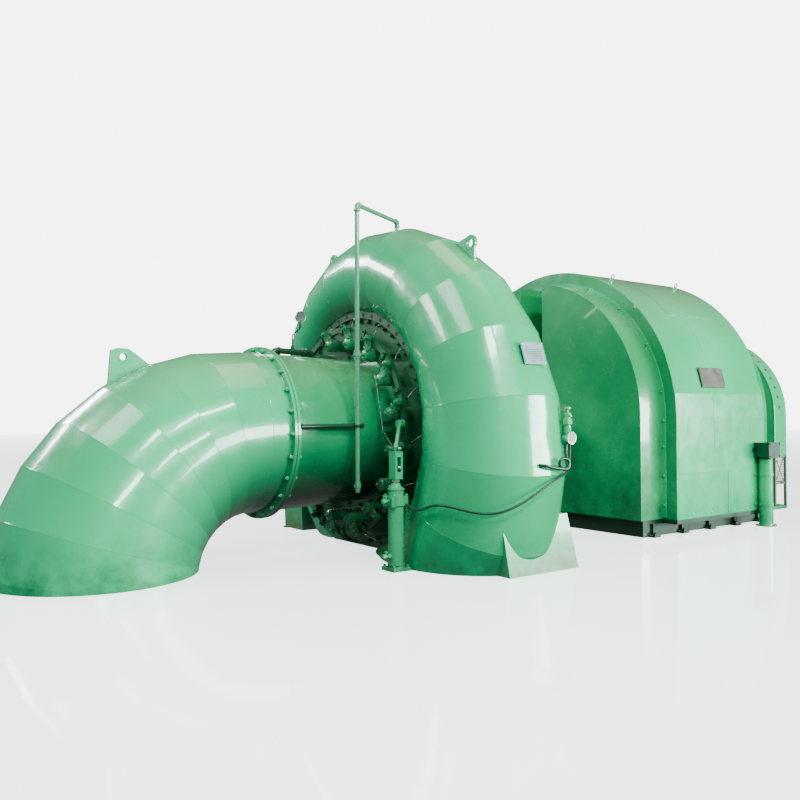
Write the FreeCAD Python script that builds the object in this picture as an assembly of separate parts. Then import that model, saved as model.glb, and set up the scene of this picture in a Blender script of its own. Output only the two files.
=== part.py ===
import FreeCAD, Part
import math
import os

# Horizontal Francis water turbine coupled to an enclosed generator.
# Working frame: X along the shaft from the draft tube to the generator,
# X = 0 at the middle of the spiral case, Y = 0 on the shaft, Z = 0 on the turbine floor.
# The finished pieces are shifted so that the origin is under the middle of the machine.

# ---------------------------------------------------------------- driving dimensions (mm)
SHAFT_HEIGHT = 1475.0            # shaft axis above the turbine floor
TOUCH = 0.3                      # clearance of curved faces that seat on each other

# spiral case
STAY_RING_IN_R = 1462.0
STAY_RING_OUT_R = 1560.0
STAY_RING_HALF_WIDTH = 354.0
COVER_RECESS = 40.0              # from the ring's face to the head cover
STAY_LEDGE_WIDTH = 62.0          # seat for the head covers
STAY_LEDGE_THICK = 30.0
STAY_VANES = 8
CASE_R_AT_INLET_SIDE = 780.0     # radius of the case section level with the shaft
CASE_R_LOSS = 2.33               # section radius lost for each degree of wrap
CASE_PLATE = 22.0
CASE_COURSE = 16.0               # degrees of wrap in one rolled course
LUG_THICK = 36.0
LUG_HEAD_R = 95.0
LUG_HOLE_R = 52.0
LUG_HALF_BASE = 230.0
LUG_ROOT = 60.0
CASE_FIRST_SEAM = -40.0          # degrees, from level on the inlet side
CASE_LAST_SEAM = 248.0
CASE_FOOT_BELOW_SHAFT = 875.0    # top of the feet

# head covers and guide vane gear
COVER_THICK = 60.0
GUIDE_VANES = 16
VANE_STEM_CIRCLE_R = 1130.0
VANE_STEM_R = 45.0
VANE_BOSS_R = 78.0
VANE_BOSS_LENGTH = 250.0
LEVER_THICK = 40.0
LEVER_PIN_OUT = 180.6            # from the stem circle to the lever pins
RING_IN_R = 1275.0
RING_OUT_R = 1345.0
RING_THICK = 50.0
LINK_R = 32.0
PIN_LENGTH = 20.0

# draft tube
CONE_END_R = 900.0               # at the head cover
ELBOW_START_R = 956.0
ELBOW_FLOOR_R = 1105.0
JOINT_X = -1777.0                # middle of the bolted joint
FLANGE_THICK = 38.0
FLANGE_OUT_R = 1029.0
FLANGE_BOLTS = 24
FLANGE_BOLT_R = 13.0
BEND_START_X = -2047.0
BEND_R = 1655.0
BEND_COURSE = 12.0               # degrees turned by one mitred course
ELBOW_PLATE = 16.0
LUG_THICK_ELBOW = 40.0
ELBOW_EYE_X = -3385.0
ELBOW_EYE_BELOW = 101.0          # from the pipe's crown
ELBOW_EYE_R = 38.0

# shaft line
SHAFT_R = 175.0
COUPLING_R = 410.0
COUPLING_X = 2420.0
COUPLING_THICK = 110.0
RUNNER_R = 1010.0
RUNNER_HALF_WIDTH = 180.0
SEAL_R = 430.0
SEAL_LENGTH = 180.0
BEARING_X = 1480.0
BEARING_LENGTH = 640.0
BEARING_R = 430.0
BEARING_FOOT_HALF = 620.0
REAR_BEARING_GAP = 537.0         # from the generator end cover to the rear bearing
REAR_BEARING_LENGTH = 420.0
REAR_BEARING_R = 330.0
BEARING_CLEARANCE = 0.2
SOLE_THICK = 60.0

# generator
BASE_HEIGHT = 232.0
GEN_X0 = 3376.0
GEN_LENGTH = 2168.0
GEN_HALF_WIDTH = 2255.0
GEN_ARCH_Z = SHAFT_HEIGHT + 147.0    # the straight walls end here
GEN_PLATE = 14.0
END_COVER_LENGTH = 479.0
END_COVER_HALF_WIDTH = 2028.0
END_COVER_SLOT = 230.0           # half width of the gap between the two halves
CORE_R = 1380.0
CORE_END_GAP = 160.0
BASE_BEAM_WIDTH = 300.0
BASE_BEAM_INSET = 90.0
SILL_THICK = 60.0
FOOT_BOLT_R = 22.0
FOOT_BOLT_INSET = 150.0
CABLE_BOX = (300.0, 230.0, 215.0)
CABLE_BOX_X = GEN_X0 + GEN_LENGTH - 134.0
CABLE_BOX_Z = 1022.0
DOWNPIPE_R = 100.0
SIDE_PLATE = (562.0, 12.0, 290.0)
SIDE_PLATE_X = GEN_X0 + 0.299 * GEN_LENGTH
SIDE_PLATE_Z = 2040.0

# flywheel guard
REAR_BEARING_X = GEN_X0 + GEN_LENGTH + END_COVER_LENGTH + REAR_BEARING_GAP
GUARD_X0 = REAR_BEARING_X + 830.0
GUARD_LENGTH = 380.0
GUARD_R = 1394.0
GUARD_PLATE = 10.0
GUARD_SHEET_Z = 920.0
GUARD_MESH_Z = 440.0
GUARD_SLOT_R = 260.0
FLYWHEEL_R = 1220.0
FLYWHEEL_THICK = 170.0

# small pieces
VENT_R = 30.0
VENT_X = -1016.0
VENT_Y = -1059.0
VENT_BOTTOM_Z = SHAFT_HEIGHT - 692.0
VENT_TOP_Z = SHAFT_HEIGHT + 2650.0
VENT_TAP_X = 338.0
VENT_TAP_TOP_Z = SHAFT_HEIGHT + 2855.0
BRANCH_R = 29.0
BRANCH_Z = SHAFT_HEIGHT + 80.0
AIR_PIPE_R = 40.0
AIR_PIPE_X0 = -1407.0
AIR_PIPE_X1 = -810.0
AIR_PIPE_Y = 300.0
AIR_PIPE_RISE = 1025.0           # top run above the shaft
AIR_PIPE_BEND = 70.0
GAUGE_STEM_R = 9.0
GAUGE_STEM_BEND = 40.0
GAUGE_R = 75.0
GAUGE_THICK = 48.0
GAUGE_X = -1116.0
GAUGE_Y = 100.0
GAUGE_Z = SHAFT_HEIGHT + 1445.0
CABLE_R = 12.0
SERVO_R = 86.0
SERVO_X = -1000.0
SERVO_Y = -1788.0
SERVO_TOP_Z = SHAFT_HEIGHT - 582.0
SERVO_ROD_R = 26.0
SERVO_STROKE_OUT = 95.0
FORK_HEIGHT = 300.0
ARM_ANGLE = 4.5
NAMEPLATE = (330.0, 6.0, 250.0)
NAMEPLATE_X = -100.0
NAMEPLATE_ANGLE = 17.0           # degrees of wrap above level
GAUGE2_X = 515.0
GAUGE2_INSET = 173.0             # from the widest line of the case
GAUGE2_BELOW_SHAFT = 47.0
GAUGE2_R = 70.0
GAUGE2_THICK = 90.0
GLAND_R = 16.0
SIPHON_R = 17.0
# x, distance out from the case's widest line, height above the shaft
SIPHON_ROUTE = [(-63, -30, -315), (-63, 70, -315), (120, 70, -353), (300, 65, -365),
                (320, 53, -260), (200, 39, -250), (190, 27, -350), (330, 5, -380),
                (430, -75, -305), (470, -130, -185), (475, -130, -75)]

# signal cable from the round gauge over the case's shoulder to the servomotor
CABLE_ROUTE = [(550, -2885, 1345), (548, -2890, 1215), (470, -2940, 1085), (300, -3035, 1045),
               (90, -3090, 1000), (-110, -3085, 905), (-300, -3025, 785), (-470, -2930, 700),
               (-620, -2810, 672), (-745, -2660, 700), (-840, -2485, 742), (-885, -2290, 745),
               (-900, -2100, 668), (-915, -1965, 672), (-932, -1864, 722)]

PARTS = {}


def vec(x, y, z):
    return FreeCAD.Vector(x, y, z)


def keep(name, shape):
    PARTS[name] = shape


def box(x0, x1, y0, y1, z0, z1):
    return Part.makeBox(x1 - x0, y1 - y0, z1 - z0, vec(x0, y0, z0))


def rod(radius, x0, x1, y=0.0, z=SHAFT_HEIGHT):
    # a round bar parallel to the shaft
    return Part.makeCylinder(radius, x1 - x0, vec(x0, y, z), vec(1, 0, 0))


def post(radius, x, y, z0, z1):
    return Part.makeCylinder(radius, z1 - z0, vec(x, y, z0))


def tube(out_r, in_r, x0, x1, y=0.0, z=SHAFT_HEIGHT):
    return rod(out_r, x0, x1, y, z).cut(rod(in_r, x0 - 1, x1 + 1, y, z))


def circle_in(radius, centre, x_dir, y_dir):
    wire = Part.Wire(Part.makeCircle(radius))
    turn = FreeCAD.Rotation(x_dir, y_dir, x_dir.cross(y_dir), "ZXY")
    wire.Placement = FreeCAD.Placement(centre, turn)
    return wire


def prism(points, direction):
    face = Part.Face(Part.makePolygon([vec(*p) for p in points + points[:1]]))
    return face.extrude(direction)


def above_floor(shape):
    reach = 8000.0
    return shape.common(box(-reach, reach, -reach, reach, 0.0, reach))


def bend_radius(before, after, turn, wanted):
    # no larger than both straight runs leave room for
    room = 0.45 * min(before, after) / math.tan(turn / 2)
    return min(wanted, room) if wanted else room


def bent_tube(points, radius, bend=None):
    # straight runs joined by tangent arcs; with no bend given, each is as large as its runs allow
    route = [vec(*p) for p in points]
    edges = []
    start = route[0]
    for before, corner, after in zip(route, route[1:], route[2:]):
        back = (before - corner).normalize()
        ahead = (after - corner).normalize()
        turn = math.pi - back.getAngle(ahead)
        arc_r = bend_radius((before - corner).Length, (after - corner).Length, turn, bend)
        trim = arc_r * math.tan(turn / 2)
        arc_in = corner + back * trim
        arc_out = corner + ahead * trim
        middle = (back + ahead).normalize()
        mid = corner + middle * (arc_r / math.cos(turn / 2) - arc_r)
        edges.append(Part.makeLine(start, arc_in))
        edges.append(Part.Arc(arc_in, mid, arc_out).toShape())
        start = arc_out
    edges.append(Part.makeLine(start, route[-1]))
    path = Part.Wire(edges)
    ring = Part.Wire(Part.makeCircle(radius, route[0], route[1] - route[0]))
    return path.makePipeShell([ring], True, True)


# ---------------------------------------------------------------- spiral case
def case_section_r(angle):
    return max(CASE_R_AT_INLET_SIDE - CASE_R_LOSS * angle, STAY_RING_HALF_WIDTH + 1.0)


def case_centre_r(angle):
    section = case_section_r(angle)
    return STAY_RING_OUT_R + math.sqrt(section ** 2 - STAY_RING_HALF_WIDTH ** 2)


def around_shaft(radius, angle, x=0.0):
    # angle 0 is level on the inlet side (-Y), 90 is straight up
    turn = math.radians(angle)
    return vec(x, -radius * math.cos(turn), SHAFT_HEIGHT + radius * math.sin(turn))


def case_course(angle0, angle1, inset):
    wires = []
    for angle in (angle0, angle1):
        out = around_shaft(1.0, angle) - around_shaft(0.0, angle)
        centre = around_shaft(case_centre_r(angle), angle)
        wires.append(circle_in(case_section_r(angle) - inset, centre, vec(1, 0, 0), out))
    return Part.makeLoft(wires, True, True)


def case_wall(seams):
    wall = None
    for angle0, angle1 in zip(seams, seams[1:]):
        course = case_course(angle0, angle1, 0.0).cut(case_course(angle0, angle1, CASE_PLATE))
        wall = course if wall is None else wall.fuse(course)
    opening = rod(STAY_RING_OUT_R, -2 * CASE_R_AT_INLET_SIDE, 2 * CASE_R_AT_INLET_SIDE)
    return above_floor(wall.cut(opening))


def spiral_case():
    # each node is two rolled courses welded together, as they are shipped
    seams = [CASE_FIRST_SEAM - 2 * CASE_COURSE, CASE_FIRST_SEAM - CASE_COURSE]
    angle = CASE_FIRST_SEAM
    while angle < CASE_LAST_SEAM:
        seams.append(angle)
        angle += CASE_COURSE
    seams.append(CASE_LAST_SEAM)
    groups = [seams[0:5]]
    index = 4
    while index < len(seams) - 1:
        reach = 3 if index < len(seams) - 5 else len(seams)
        groups.append(seams[index:index + reach])
        index += reach - 1
    for number, group in enumerate(groups, 1):
        keep("case_courses_%02d" % number, case_wall(group))


def stay_ring():
    face = STAY_RING_HALF_WIDTH
    rings = []
    for side in (-1, 1):
        x_out = side * face
        x_ledge = side * (face - COVER_RECESS - COVER_THICK)
        x_in = x_ledge - side * STAY_LEDGE_THICK
        body = tube(STAY_RING_OUT_R, STAY_RING_IN_R, min(x_out, x_in), max(x_out, x_in))
        ledge = tube(STAY_RING_IN_R + 1.0, STAY_RING_IN_R - STAY_LEDGE_WIDTH,
                     min(x_ledge, x_in), max(x_ledge, x_in))
        rings.append(above_floor(body.fuse(ledge)))
    keep("stay_ring", Part.makeCompound(rings))
    vanes = []
    gap_half = face - COVER_RECESS - COVER_THICK - STAY_LEDGE_THICK
    for number in range(STAY_VANES):
        angle = 360.0 * (number + 0.5) / STAY_VANES
        vane = box(-gap_half, gap_half, -STAY_RING_OUT_R + 8.0, -STAY_RING_IN_R - 2.0,
                   SHAFT_HEIGHT - 22.0, SHAFT_HEIGHT + 22.0)
        vane.rotate(vec(0, 0, SHAFT_HEIGHT), vec(1, 0, 0), -angle)
        vanes.append(vane)
    keep("stay_vanes", Part.makeCompound(vanes))


def cover_seat_x():
    # outer face of a head cover seated on the ring's ledge
    return STAY_RING_HALF_WIDTH - COVER_RECESS


def case_lugs():
    # round-headed plates welded on the crown, each with a shackle hole
    plates = []
    for angle, eye_height in ((49.0, 105.0), (114.0, 190.0)):
        wall_r = case_centre_r(angle) + case_section_r(angle)
        eye = around_shaft(wall_r + eye_height, angle)
        out = (eye - around_shaft(0.0, angle)).normalize()
        along = vec(0, out.z, -out.y)
        root = around_shaft(wall_r - LUG_ROOT, angle)
        corners = [root - along * LUG_HALF_BASE, root + along * LUG_HALF_BASE,
                   eye + along * LUG_HEAD_R + out * 20.0, eye - along * LUG_HEAD_R + out * 20.0]
        blade = Part.Face(Part.makePolygon(corners + corners[:1])).extrude(vec(LUG_THICK, 0, 0))
        head = Part.makeCylinder(LUG_HEAD_R, LUG_THICK, eye, vec(1, 0, 0))
        hole = Part.makeCylinder(LUG_HOLE_R, LUG_THICK + 2, eye - vec(1, 0, 0), vec(1, 0, 0))
        plate = blade.fuse(head).cut(hole)
        plate.translate(vec(-LUG_THICK / 2, 0, 0))
        for part in PARTS.values():
            plate = plate.cut(part)
        plates.append(max(plate.Solids, key=lambda s: s.BoundBox.ZMax))
    keep("case_lifting_lugs", Part.makeCompound(plates))


def case_foot(name, side, x0, x1, y_out, height, depth):
    # a box foot welded to the case and bolted to the floor
    lean = 60.0
    low = [(x0, side * y_out, 0), (x1, side * y_out, 0)]
    high = [(x1 - 2 * lean, side * (y_out - lean), height), (x0 - lean, side * (y_out - lean), height)]
    leg = prism(low + high, vec(0, -side * depth, 0))
    leg = leg.common(box(x0 - 400, x1 + 400, -9000, 9000, 0, height))
    angle = CASE_FIRST_SEAM - 2 * CASE_COURSE
    while angle < CASE_LAST_SEAM:
        course = case_course(angle, angle + CASE_COURSE, 0.0)
        if course.BoundBox.intersect(leg.BoundBox):
            leg = leg.cut(course)
        angle += CASE_COURSE
    leg = max(leg.Solids, key=lambda s: s.BoundBox.YMax * side)
    for x in (x0 + 180.0, x1 - 180.0):
        leg = leg.cut(post(FOOT_BOLT_R, x, side * (y_out - 110.0), -1, 60.0))
    keep(name, leg)


def case_feet():
    height = SHAFT_HEIGHT - CASE_FOOT_BELOW_SHAFT
    near_side = case_centre_r(0.0) + case_section_r(0.0)
    far_side = case_centre_r(180.0) + case_section_r(180.0)
    case_foot("case_foot_near", -1, -350.0, 690.0, near_side - 155.0, height, 700.0)
    case_foot("case_foot_far", 1, -320.0, 320.0, far_side - 29.0, height, 520.0)


# ---------------------------------------------------------------- covers and guide vane gear
def head_covers():
    outer = cover_seat_x()
    inner = outer - COVER_THICK
    rim = STAY_RING_IN_R - TOUCH
    front = tube(rim, CONE_END_R - 60.0, -outer, -inner)
    rear = tube(rim, SHAFT_R + 60.0, inner, outer)
    rear = rear.fuse(tube(SEAL_R, SHAFT_R + BEARING_CLEARANCE, outer, outer + SEAL_LENGTH))
    for angle in vane_angles():
        place = around_shaft(VANE_STEM_CIRCLE_R, angle)
        front = front.cut(rod(VANE_STEM_R + TOUCH, -outer - 1, -inner + 1, place.y, place.z))
    keep("head_cover_front", above_floor(front))
    keep("head_cover_rear", above_floor(rear))


def operating_ring_x():
    # the lever pins reach back to the ring's front face
    return -cover_seat_x() - VANE_BOSS_LENGTH + PIN_LENGTH


def vane_angles():
    return [360.0 * (number + 0.5) / GUIDE_VANES for number in range(GUIDE_VANES)]


def guide_vanes():
    outer = cover_seat_x()
    inner = outer - COVER_THICK
    tip = outer + VANE_BOSS_LENGTH + LEVER_THICK
    vanes = []
    bosses = []
    levers = []
    for angle in vane_angles():
        place = around_shaft(VANE_STEM_CIRCLE_R, angle)
        stem = rod(VANE_STEM_R, -tip, -inner + 4.0, place.y, place.z)
        blade = box(-inner + 4.0, inner - 1.0, place.y - 20.0, place.y + 20.0,
                    place.z - 105.0, place.z + 105.0)
        blade.rotate(place, vec(1, 0, 0), -angle + 20.0)
        vanes.append(stem.fuse(blade))
        bosses.append(tube(VANE_BOSS_R, VANE_STEM_R + TOUCH, -outer - VANE_BOSS_LENGTH, -outer,
                           place.y, place.z))
        pin = around_shaft(VANE_STEM_CIRCLE_R + LEVER_PIN_OUT, angle + ARM_ANGLE)
        x0 = -outer - VANE_BOSS_LENGTH - LEVER_THICK
        x1 = x0 + LEVER_THICK
        hub = rod(VANE_BOSS_R, x0, x1, place.y, place.z)
        eye = rod(LINK_R + 14.0, x0, x1, pin.y, pin.z)
        along = vec(0, pin.y - place.y, pin.z - place.z).normalize()
        across = vec(0, -along.z, along.y)
        web = [place + across * VANE_BOSS_R * 0.9, pin + across * LINK_R,
               pin - across * LINK_R, place - across * VANE_BOSS_R * 0.9]
        web = [vec(x0, p.y, p.z) for p in web]
        arm = Part.Face(Part.makePolygon(web + web[:1])).extrude(vec(LEVER_THICK, 0, 0))
        lever = hub.fuse(arm).fuse(eye)
        lever = lever.cut(rod(VANE_STEM_R + TOUCH, x0 - 1, x1 + 1, place.y, place.z))
        levers.append(lever.fuse(rod(LINK_R, x1, x1 + PIN_LENGTH, pin.y, pin.z)))
    keep("guide_vanes", Part.makeCompound(vanes))
    keep("guide_vane_bosses", Part.makeCompound(bosses))
    keep("guide_vane_levers", Part.makeCompound(levers))
    ring_x = operating_ring_x()
    keep("operating_ring", tube(RING_OUT_R, RING_IN_R, ring_x, ring_x + RING_THICK))
    guides = []
    for angle in (45.0, 135.0, 200.0, 340.0):
        place = around_shaft((RING_IN_R + RING_OUT_R) / 2, angle)
        guides.append(rod(30.0, ring_x + RING_THICK, -outer, place.y, place.z))
    PARTS["head_cover_front"] = PARTS["head_cover_front"].fuse(guides)


def flat_bar(start, end, width, thick):
    # a flat bar between two points, its wide side upright
    along = (end - start).normalize()
    side = vec(-along.y, along.x, 0).normalize()
    up = along.cross(side)
    corners = [start + side * (sx * thick / 2) + up * (sz * width / 2)
               for sx, sz in ((-1, -1), (1, -1), (1, 1), (-1, 1))]
    face = Part.Face(Part.makePolygon(corners + corners[:1]))
    return face.extrude(end - start)


def servomotor():
    # an upright oil cylinder on the floor, its rod, fork and arm turn the operating ring
    foot = SERVO_R + 30.0
    body = post(SERVO_R, SERVO_X, SERVO_Y, 0, SERVO_TOP_Z)
    body = body.fuse(box(SERVO_X - foot, SERVO_X + foot, SERVO_Y - foot, SERVO_Y + foot, 0, 40.0))
    body = body.fuse(post(SERVO_R + 16, SERVO_X, SERVO_Y, SERVO_TOP_Z - 190, SERVO_TOP_Z - 90))
    keep("servomotor_cylinder", body)
    rod_top = SERVO_TOP_Z + SERVO_STROKE_OUT
    bar = post(SERVO_ROD_R, SERVO_X, SERVO_Y, SERVO_TOP_Z, rod_top)
    fork = box(SERVO_X - 50, SERVO_X + 50, SERVO_Y - 60, SERVO_Y + 60, rod_top, rod_top + FORK_HEIGHT)
    slot = box(SERVO_X - 24, SERVO_X + 24, SERVO_Y - 61, SERVO_Y + 61, rod_top + 80, rod_top + 240)
    eye = vec(SERVO_X, SERVO_Y, rod_top + FORK_HEIGHT)
    ring_eye = around_shaft((RING_IN_R + RING_OUT_R) / 2, ARM_ANGLE, operating_ring_x() - 40.0)
    arm = flat_bar(eye, ring_eye, 110.0, 36.0)
    boss = rod(48.0, ring_eye.x - 40.0, operating_ring_x(), ring_eye.y, ring_eye.z)
    keep("servomotor_rod", bar.fuse(fork.cut(slot)).fuse(arm).fuse(boss))


# ---------------------------------------------------------------- draft tube
def elbow_seam(angle):
    # section circle at a given turn of the bend, 0 at its start, 90 pointing straight down
    turn = math.radians(angle)
    radius = ELBOW_START_R + (ELBOW_FLOOR_R - ELBOW_START_R) * angle / 90.0
    out = vec(-math.sin(turn), 0, math.cos(turn))
    centre = vec(BEND_START_X, 0, SHAFT_HEIGHT - BEND_R) + out * BEND_R
    return radius, centre, out


def elbow_course(angle0, angle1, inset):
    wires = []
    for angle in (angle0, angle1):
        radius, centre, out = elbow_seam(angle)
        wires.append(circle_in(radius - inset, centre, vec(0, 1, 0), out))
    return Part.makeLoft(wires, True, True)


def draft_elbow():
    first = tube(ELBOW_START_R, ELBOW_START_R - ELBOW_PLATE, BEND_START_X, JOINT_X - FLANGE_THICK)
    for number in range(4):
        wall = first if number == 0 else None
        for half in range(2):
            a0 = (2 * number + half) * BEND_COURSE
            a1 = a0 + BEND_COURSE
            course = elbow_course(a0, a1, 0.0).cut(elbow_course(a0, a1, ELBOW_PLATE))
            wall = course if wall is None else wall.fuse(course)
        keep("draft_elbow_%d" % (number + 1), above_floor(wall))


def bolted_flange(name, x0):
    flange = tube(FLANGE_OUT_R, ELBOW_START_R - ELBOW_PLATE, x0, x0 + FLANGE_THICK)
    circle = (FLANGE_OUT_R + ELBOW_START_R) / 2
    for number in range(FLANGE_BOLTS):
        place = around_shaft(circle, 360.0 * number / FLANGE_BOLTS)
        flange = flange.cut(rod(FLANGE_BOLT_R, x0 - 1, x0 + FLANGE_THICK + 1, place.y, place.z))
    keep(name, flange)


def draft_cone():
    x0 = JOINT_X + FLANGE_THICK
    x1 = -cover_seat_x()
    down = vec(1, 0, 0)
    shell = Part.makeCone(ELBOW_START_R, CONE_END_R, x1 - x0, vec(x0, 0, SHAFT_HEIGHT), down)
    hollow = Part.makeCone(ELBOW_START_R - ELBOW_PLATE, CONE_END_R - ELBOW_PLATE, x1 - x0,
                           vec(x0, 0, SHAFT_HEIGHT), down)
    shell = shell.cut(hollow)
    rim = tube(CONE_END_R + 95.0, CONE_END_R - ELBOW_PLATE, x1 - 40.0, x1)
    keep("draft_cone", shell.fuse(rim))


def elbow_lug():
    # a plate eye welded upright along the top of the bend
    crown = SHAFT_HEIGHT + ELBOW_START_R
    half = LUG_THICK_ELBOW / 2
    outline = [(-3560.0, -531.0), (-3520.0, -31.0), (-3440.0, -6.0), (-3330.0, -6.0),
               (-3250.0, -61.0), (-3020.0, -231.0), (-2900.0, -531.0)]
    lug = prism([(x, -half, crown + below) for x, below in outline], vec(0, LUG_THICK_ELBOW, 0))
    eye = vec(ELBOW_EYE_X, -LUG_THICK_ELBOW, crown - ELBOW_EYE_BELOW)
    lug = lug.cut(Part.makeCylinder(ELBOW_EYE_R, 2 * LUG_THICK_ELBOW, eye, vec(0, 1, 0)))
    for number in (1, 2, 3):
        lug = lug.cut(PARTS["draft_elbow_%d" % number])
    keep("draft_elbow_lug", max(lug.Solids, key=lambda s: s.BoundBox.ZMax))


# ---------------------------------------------------------------- shaft line
def shaft_line():
    core_x = GEN_X0 + CORE_END_GAP
    runner = rod(RUNNER_R, -RUNNER_HALF_WIDTH, 0.0)
    nose = Part.makeCone(330.0, 760.0, 240.0, vec(-RUNNER_HALF_WIDTH - 240.0, 0, SHAFT_HEIGHT), vec(1, 0, 0))
    hub = Part.makeCone(RUNNER_R, 420.0, RUNNER_HALF_WIDTH, vec(0, 0, SHAFT_HEIGHT), vec(1, 0, 0))
    keep("runner", runner.fuse(nose).fuse(hub))
    shaft = rod(SHAFT_R, RUNNER_HALF_WIDTH, core_x)
    shaft = shaft.fuse(rod(COUPLING_R, COUPLING_X, COUPLING_X + COUPLING_THICK))
    shaft = shaft.fuse(rod(COUPLING_R, COUPLING_X + COUPLING_THICK + 0.5, COUPLING_X + 2 * COUPLING_THICK))
    keep("turbine_shaft", shaft)
    pedestal("guide_bearing", BEARING_X, BEARING_LENGTH, BEARING_R, BEARING_FOOT_HALF)
    rear_x = GEN_X0 + GEN_LENGTH - CORE_END_GAP
    keep("rear_shaft", rod(SHAFT_R, rear_x, GUARD_X0 + (GUARD_LENGTH - FLYWHEEL_THICK) / 2))
    pedestal("rear_bearing", REAR_BEARING_X, REAR_BEARING_LENGTH, REAR_BEARING_R, BEARING_FOOT_HALF)
    # the rear sole plate runs on under the guard to the generator's base
    base_end = GEN_X0 + GEN_LENGTH + END_COVER_LENGTH - BASE_BEAM_INSET
    sole = box(base_end, GUARD_X0 + GUARD_LENGTH, -GUARD_R, GUARD_R, 0, SOLE_THICK)
    rear = PARTS["rear_bearing"].fuse(sole)
    for x in (REAR_BEARING_X + 60, REAR_BEARING_X + REAR_BEARING_LENGTH - 60):
        for y in (-BEARING_FOOT_HALF - 60, BEARING_FOOT_HALF + 60):
            rear = rear.cut(post(FOOT_BOLT_R, x, y, -1, SOLE_THICK + 1))
    keep("rear_bearing", rear)


def pedestal(name, x0, length, radius, foot_half):
    # bearing housing on a tapering stand, bolted to the floor
    body = rod(radius, x0, x0 + length)
    stand = prism([(x0, -foot_half, 0), (x0, foot_half, 0), (x0, radius * 0.9, SHAFT_HEIGHT),
                   (x0, -radius * 0.9, SHAFT_HEIGHT)], vec(length, 0, 0))
    sole = box(x0 - 60, x0 + length + 60, -foot_half - 120, foot_half + 120, 0, SOLE_THICK)
    body = body.fuse(stand).fuse(sole)
    body = body.cut(rod(SHAFT_R + BEARING_CLEARANCE, x0 - 1, x0 + length + 1))
    for x in (x0 + 60, x0 + length - 60):
        for y in (-foot_half - 60, foot_half + 60):
            body = body.cut(post(FOOT_BOLT_R, x, y, -1, SOLE_THICK + 1))
    keep(name, body)


# ---------------------------------------------------------------- generator
def arch(half_width, z0, x0, x1):
    # straight walls up to GEN_ARCH_Z with a half-round roof on them
    crown = Part.Arc(vec(x0, -half_width, GEN_ARCH_Z), vec(x0, 0, GEN_ARCH_Z + half_width),
                     vec(x0, half_width, GEN_ARCH_Z)).toShape()
    walls = Part.makePolygon([vec(x0, half_width, GEN_ARCH_Z), vec(x0, half_width, z0),
                              vec(x0, -half_width, z0), vec(x0, -half_width, GEN_ARCH_Z)])
    outline = Part.Wire([crown] + walls.Edges)
    return Part.Face(outline).extrude(vec(x1 - x0, 0, 0))


def generator():
    x0 = GEN_X0
    x1 = GEN_X0 + GEN_LENGTH
    half = GEN_HALF_WIDTH
    plate = GEN_PLATE
    base = BASE_HEIGHT
    roof = tube(half, half - plate, x0, x1, 0.0, GEN_ARCH_Z)
    keep("generator_roof", roof.common(box(x0, x1, -half, half, GEN_ARCH_Z, GEN_ARCH_Z + half)))
    keep("generator_wall_near", box(x0, x1, -half, plate - half, base, GEN_ARCH_Z))
    keep("generator_wall_far", box(x0, x1, half - plate, half, base, GEN_ARCH_Z))
    hole = rod(END_COVER_SLOT, x0 - 1, x1 + 1)
    ends = [arch(half - plate, base, x0, x0 + plate).cut(hole),
            arch(half - plate, base, x1 - plate, x1).cut(hole)]
    keep("generator_end_walls", Part.makeCompound(ends))
    end_covers("end_cover_front", x0 - END_COVER_LENGTH, x0, -1)
    end_covers("end_cover_rear", x1, x1 + END_COVER_LENGTH, 1)
    core = rod(CORE_R, x0 + CORE_END_GAP, x1 - CORE_END_GAP)
    skirt = box(x0 + CORE_END_GAP, x1 - CORE_END_GAP, -CORE_R * 0.8, CORE_R * 0.8, base, SHAFT_HEIGHT)
    core = core.fuse(skirt).common(box(x0, x1, -half, half, base, 9000))
    keep("generator_core", core)


def end_covers(name, x0, x1, side):
    half = END_COVER_HALF_WIDTH
    plate = GEN_PLATE
    whole = arch(half, BASE_HEIGHT, x0, x1)
    hollow_x0 = x0 + plate if side < 0 else x0 - 1
    hollow_x1 = x1 + 1 if side < 0 else x1 - plate
    hollow = arch(half - plate, BASE_HEIGHT - 1, hollow_x0, hollow_x1)
    for label, y0, y1 in (("near", -half, -END_COVER_SLOT), ("far", END_COVER_SLOT, half)):
        piece = whole.common(box(x0, x1, y0, y1, 0, 9000))
        core = hollow.common(box(hollow_x0, hollow_x1,
                                 y0 if y0 < 0 else y0 + plate, y1 if y1 > 0 else y1 - plate, 0, 9000))
        keep(name + "_" + label, piece.cut(core))


def generator_base():
    x0 = GEN_X0 - END_COVER_LENGTH + BASE_BEAM_INSET
    x1 = GEN_X0 + GEN_LENGTH + END_COVER_LENGTH - BASE_BEAM_INSET
    outer = END_COVER_HALF_WIDTH - 40.0
    for label, side in (("near", -1), ("far", 1)):
        y_out = side * outer
        y_in = side * (outer - BASE_BEAM_WIDTH)
        beam = box(x0, x1, min(y_out, y_in), max(y_out, y_in), 0, BASE_HEIGHT)
        y_wall = side * GEN_HALF_WIDTH
        sill = box(GEN_X0, GEN_X0 + GEN_LENGTH, min(y_wall, y_out), max(y_wall, y_out),
                   BASE_HEIGHT - SILL_THICK, BASE_HEIGHT)
        beam = beam.fuse(sill)
        for x in (x0 + FOOT_BOLT_INSET, x1 - FOOT_BOLT_INSET):
            beam = beam.cut(post(FOOT_BOLT_R, x, side * (outer - FOOT_BOLT_INSET), -1, BASE_HEIGHT + 1))
        keep("base_beam_" + label, beam)
    cross = []
    inner = outer - BASE_BEAM_WIDTH
    for x in (x0, GEN_X0 + 60.0, GEN_X0 + GEN_LENGTH / 2 - 150.0, GEN_X0 + GEN_LENGTH - 360.0, x1 - 300.0):
        cross.append(box(x, x + 300.0, -inner, inner, 0, BASE_HEIGHT))
    keep("base_cross_beams", Part.makeCompound(cross))


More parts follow.
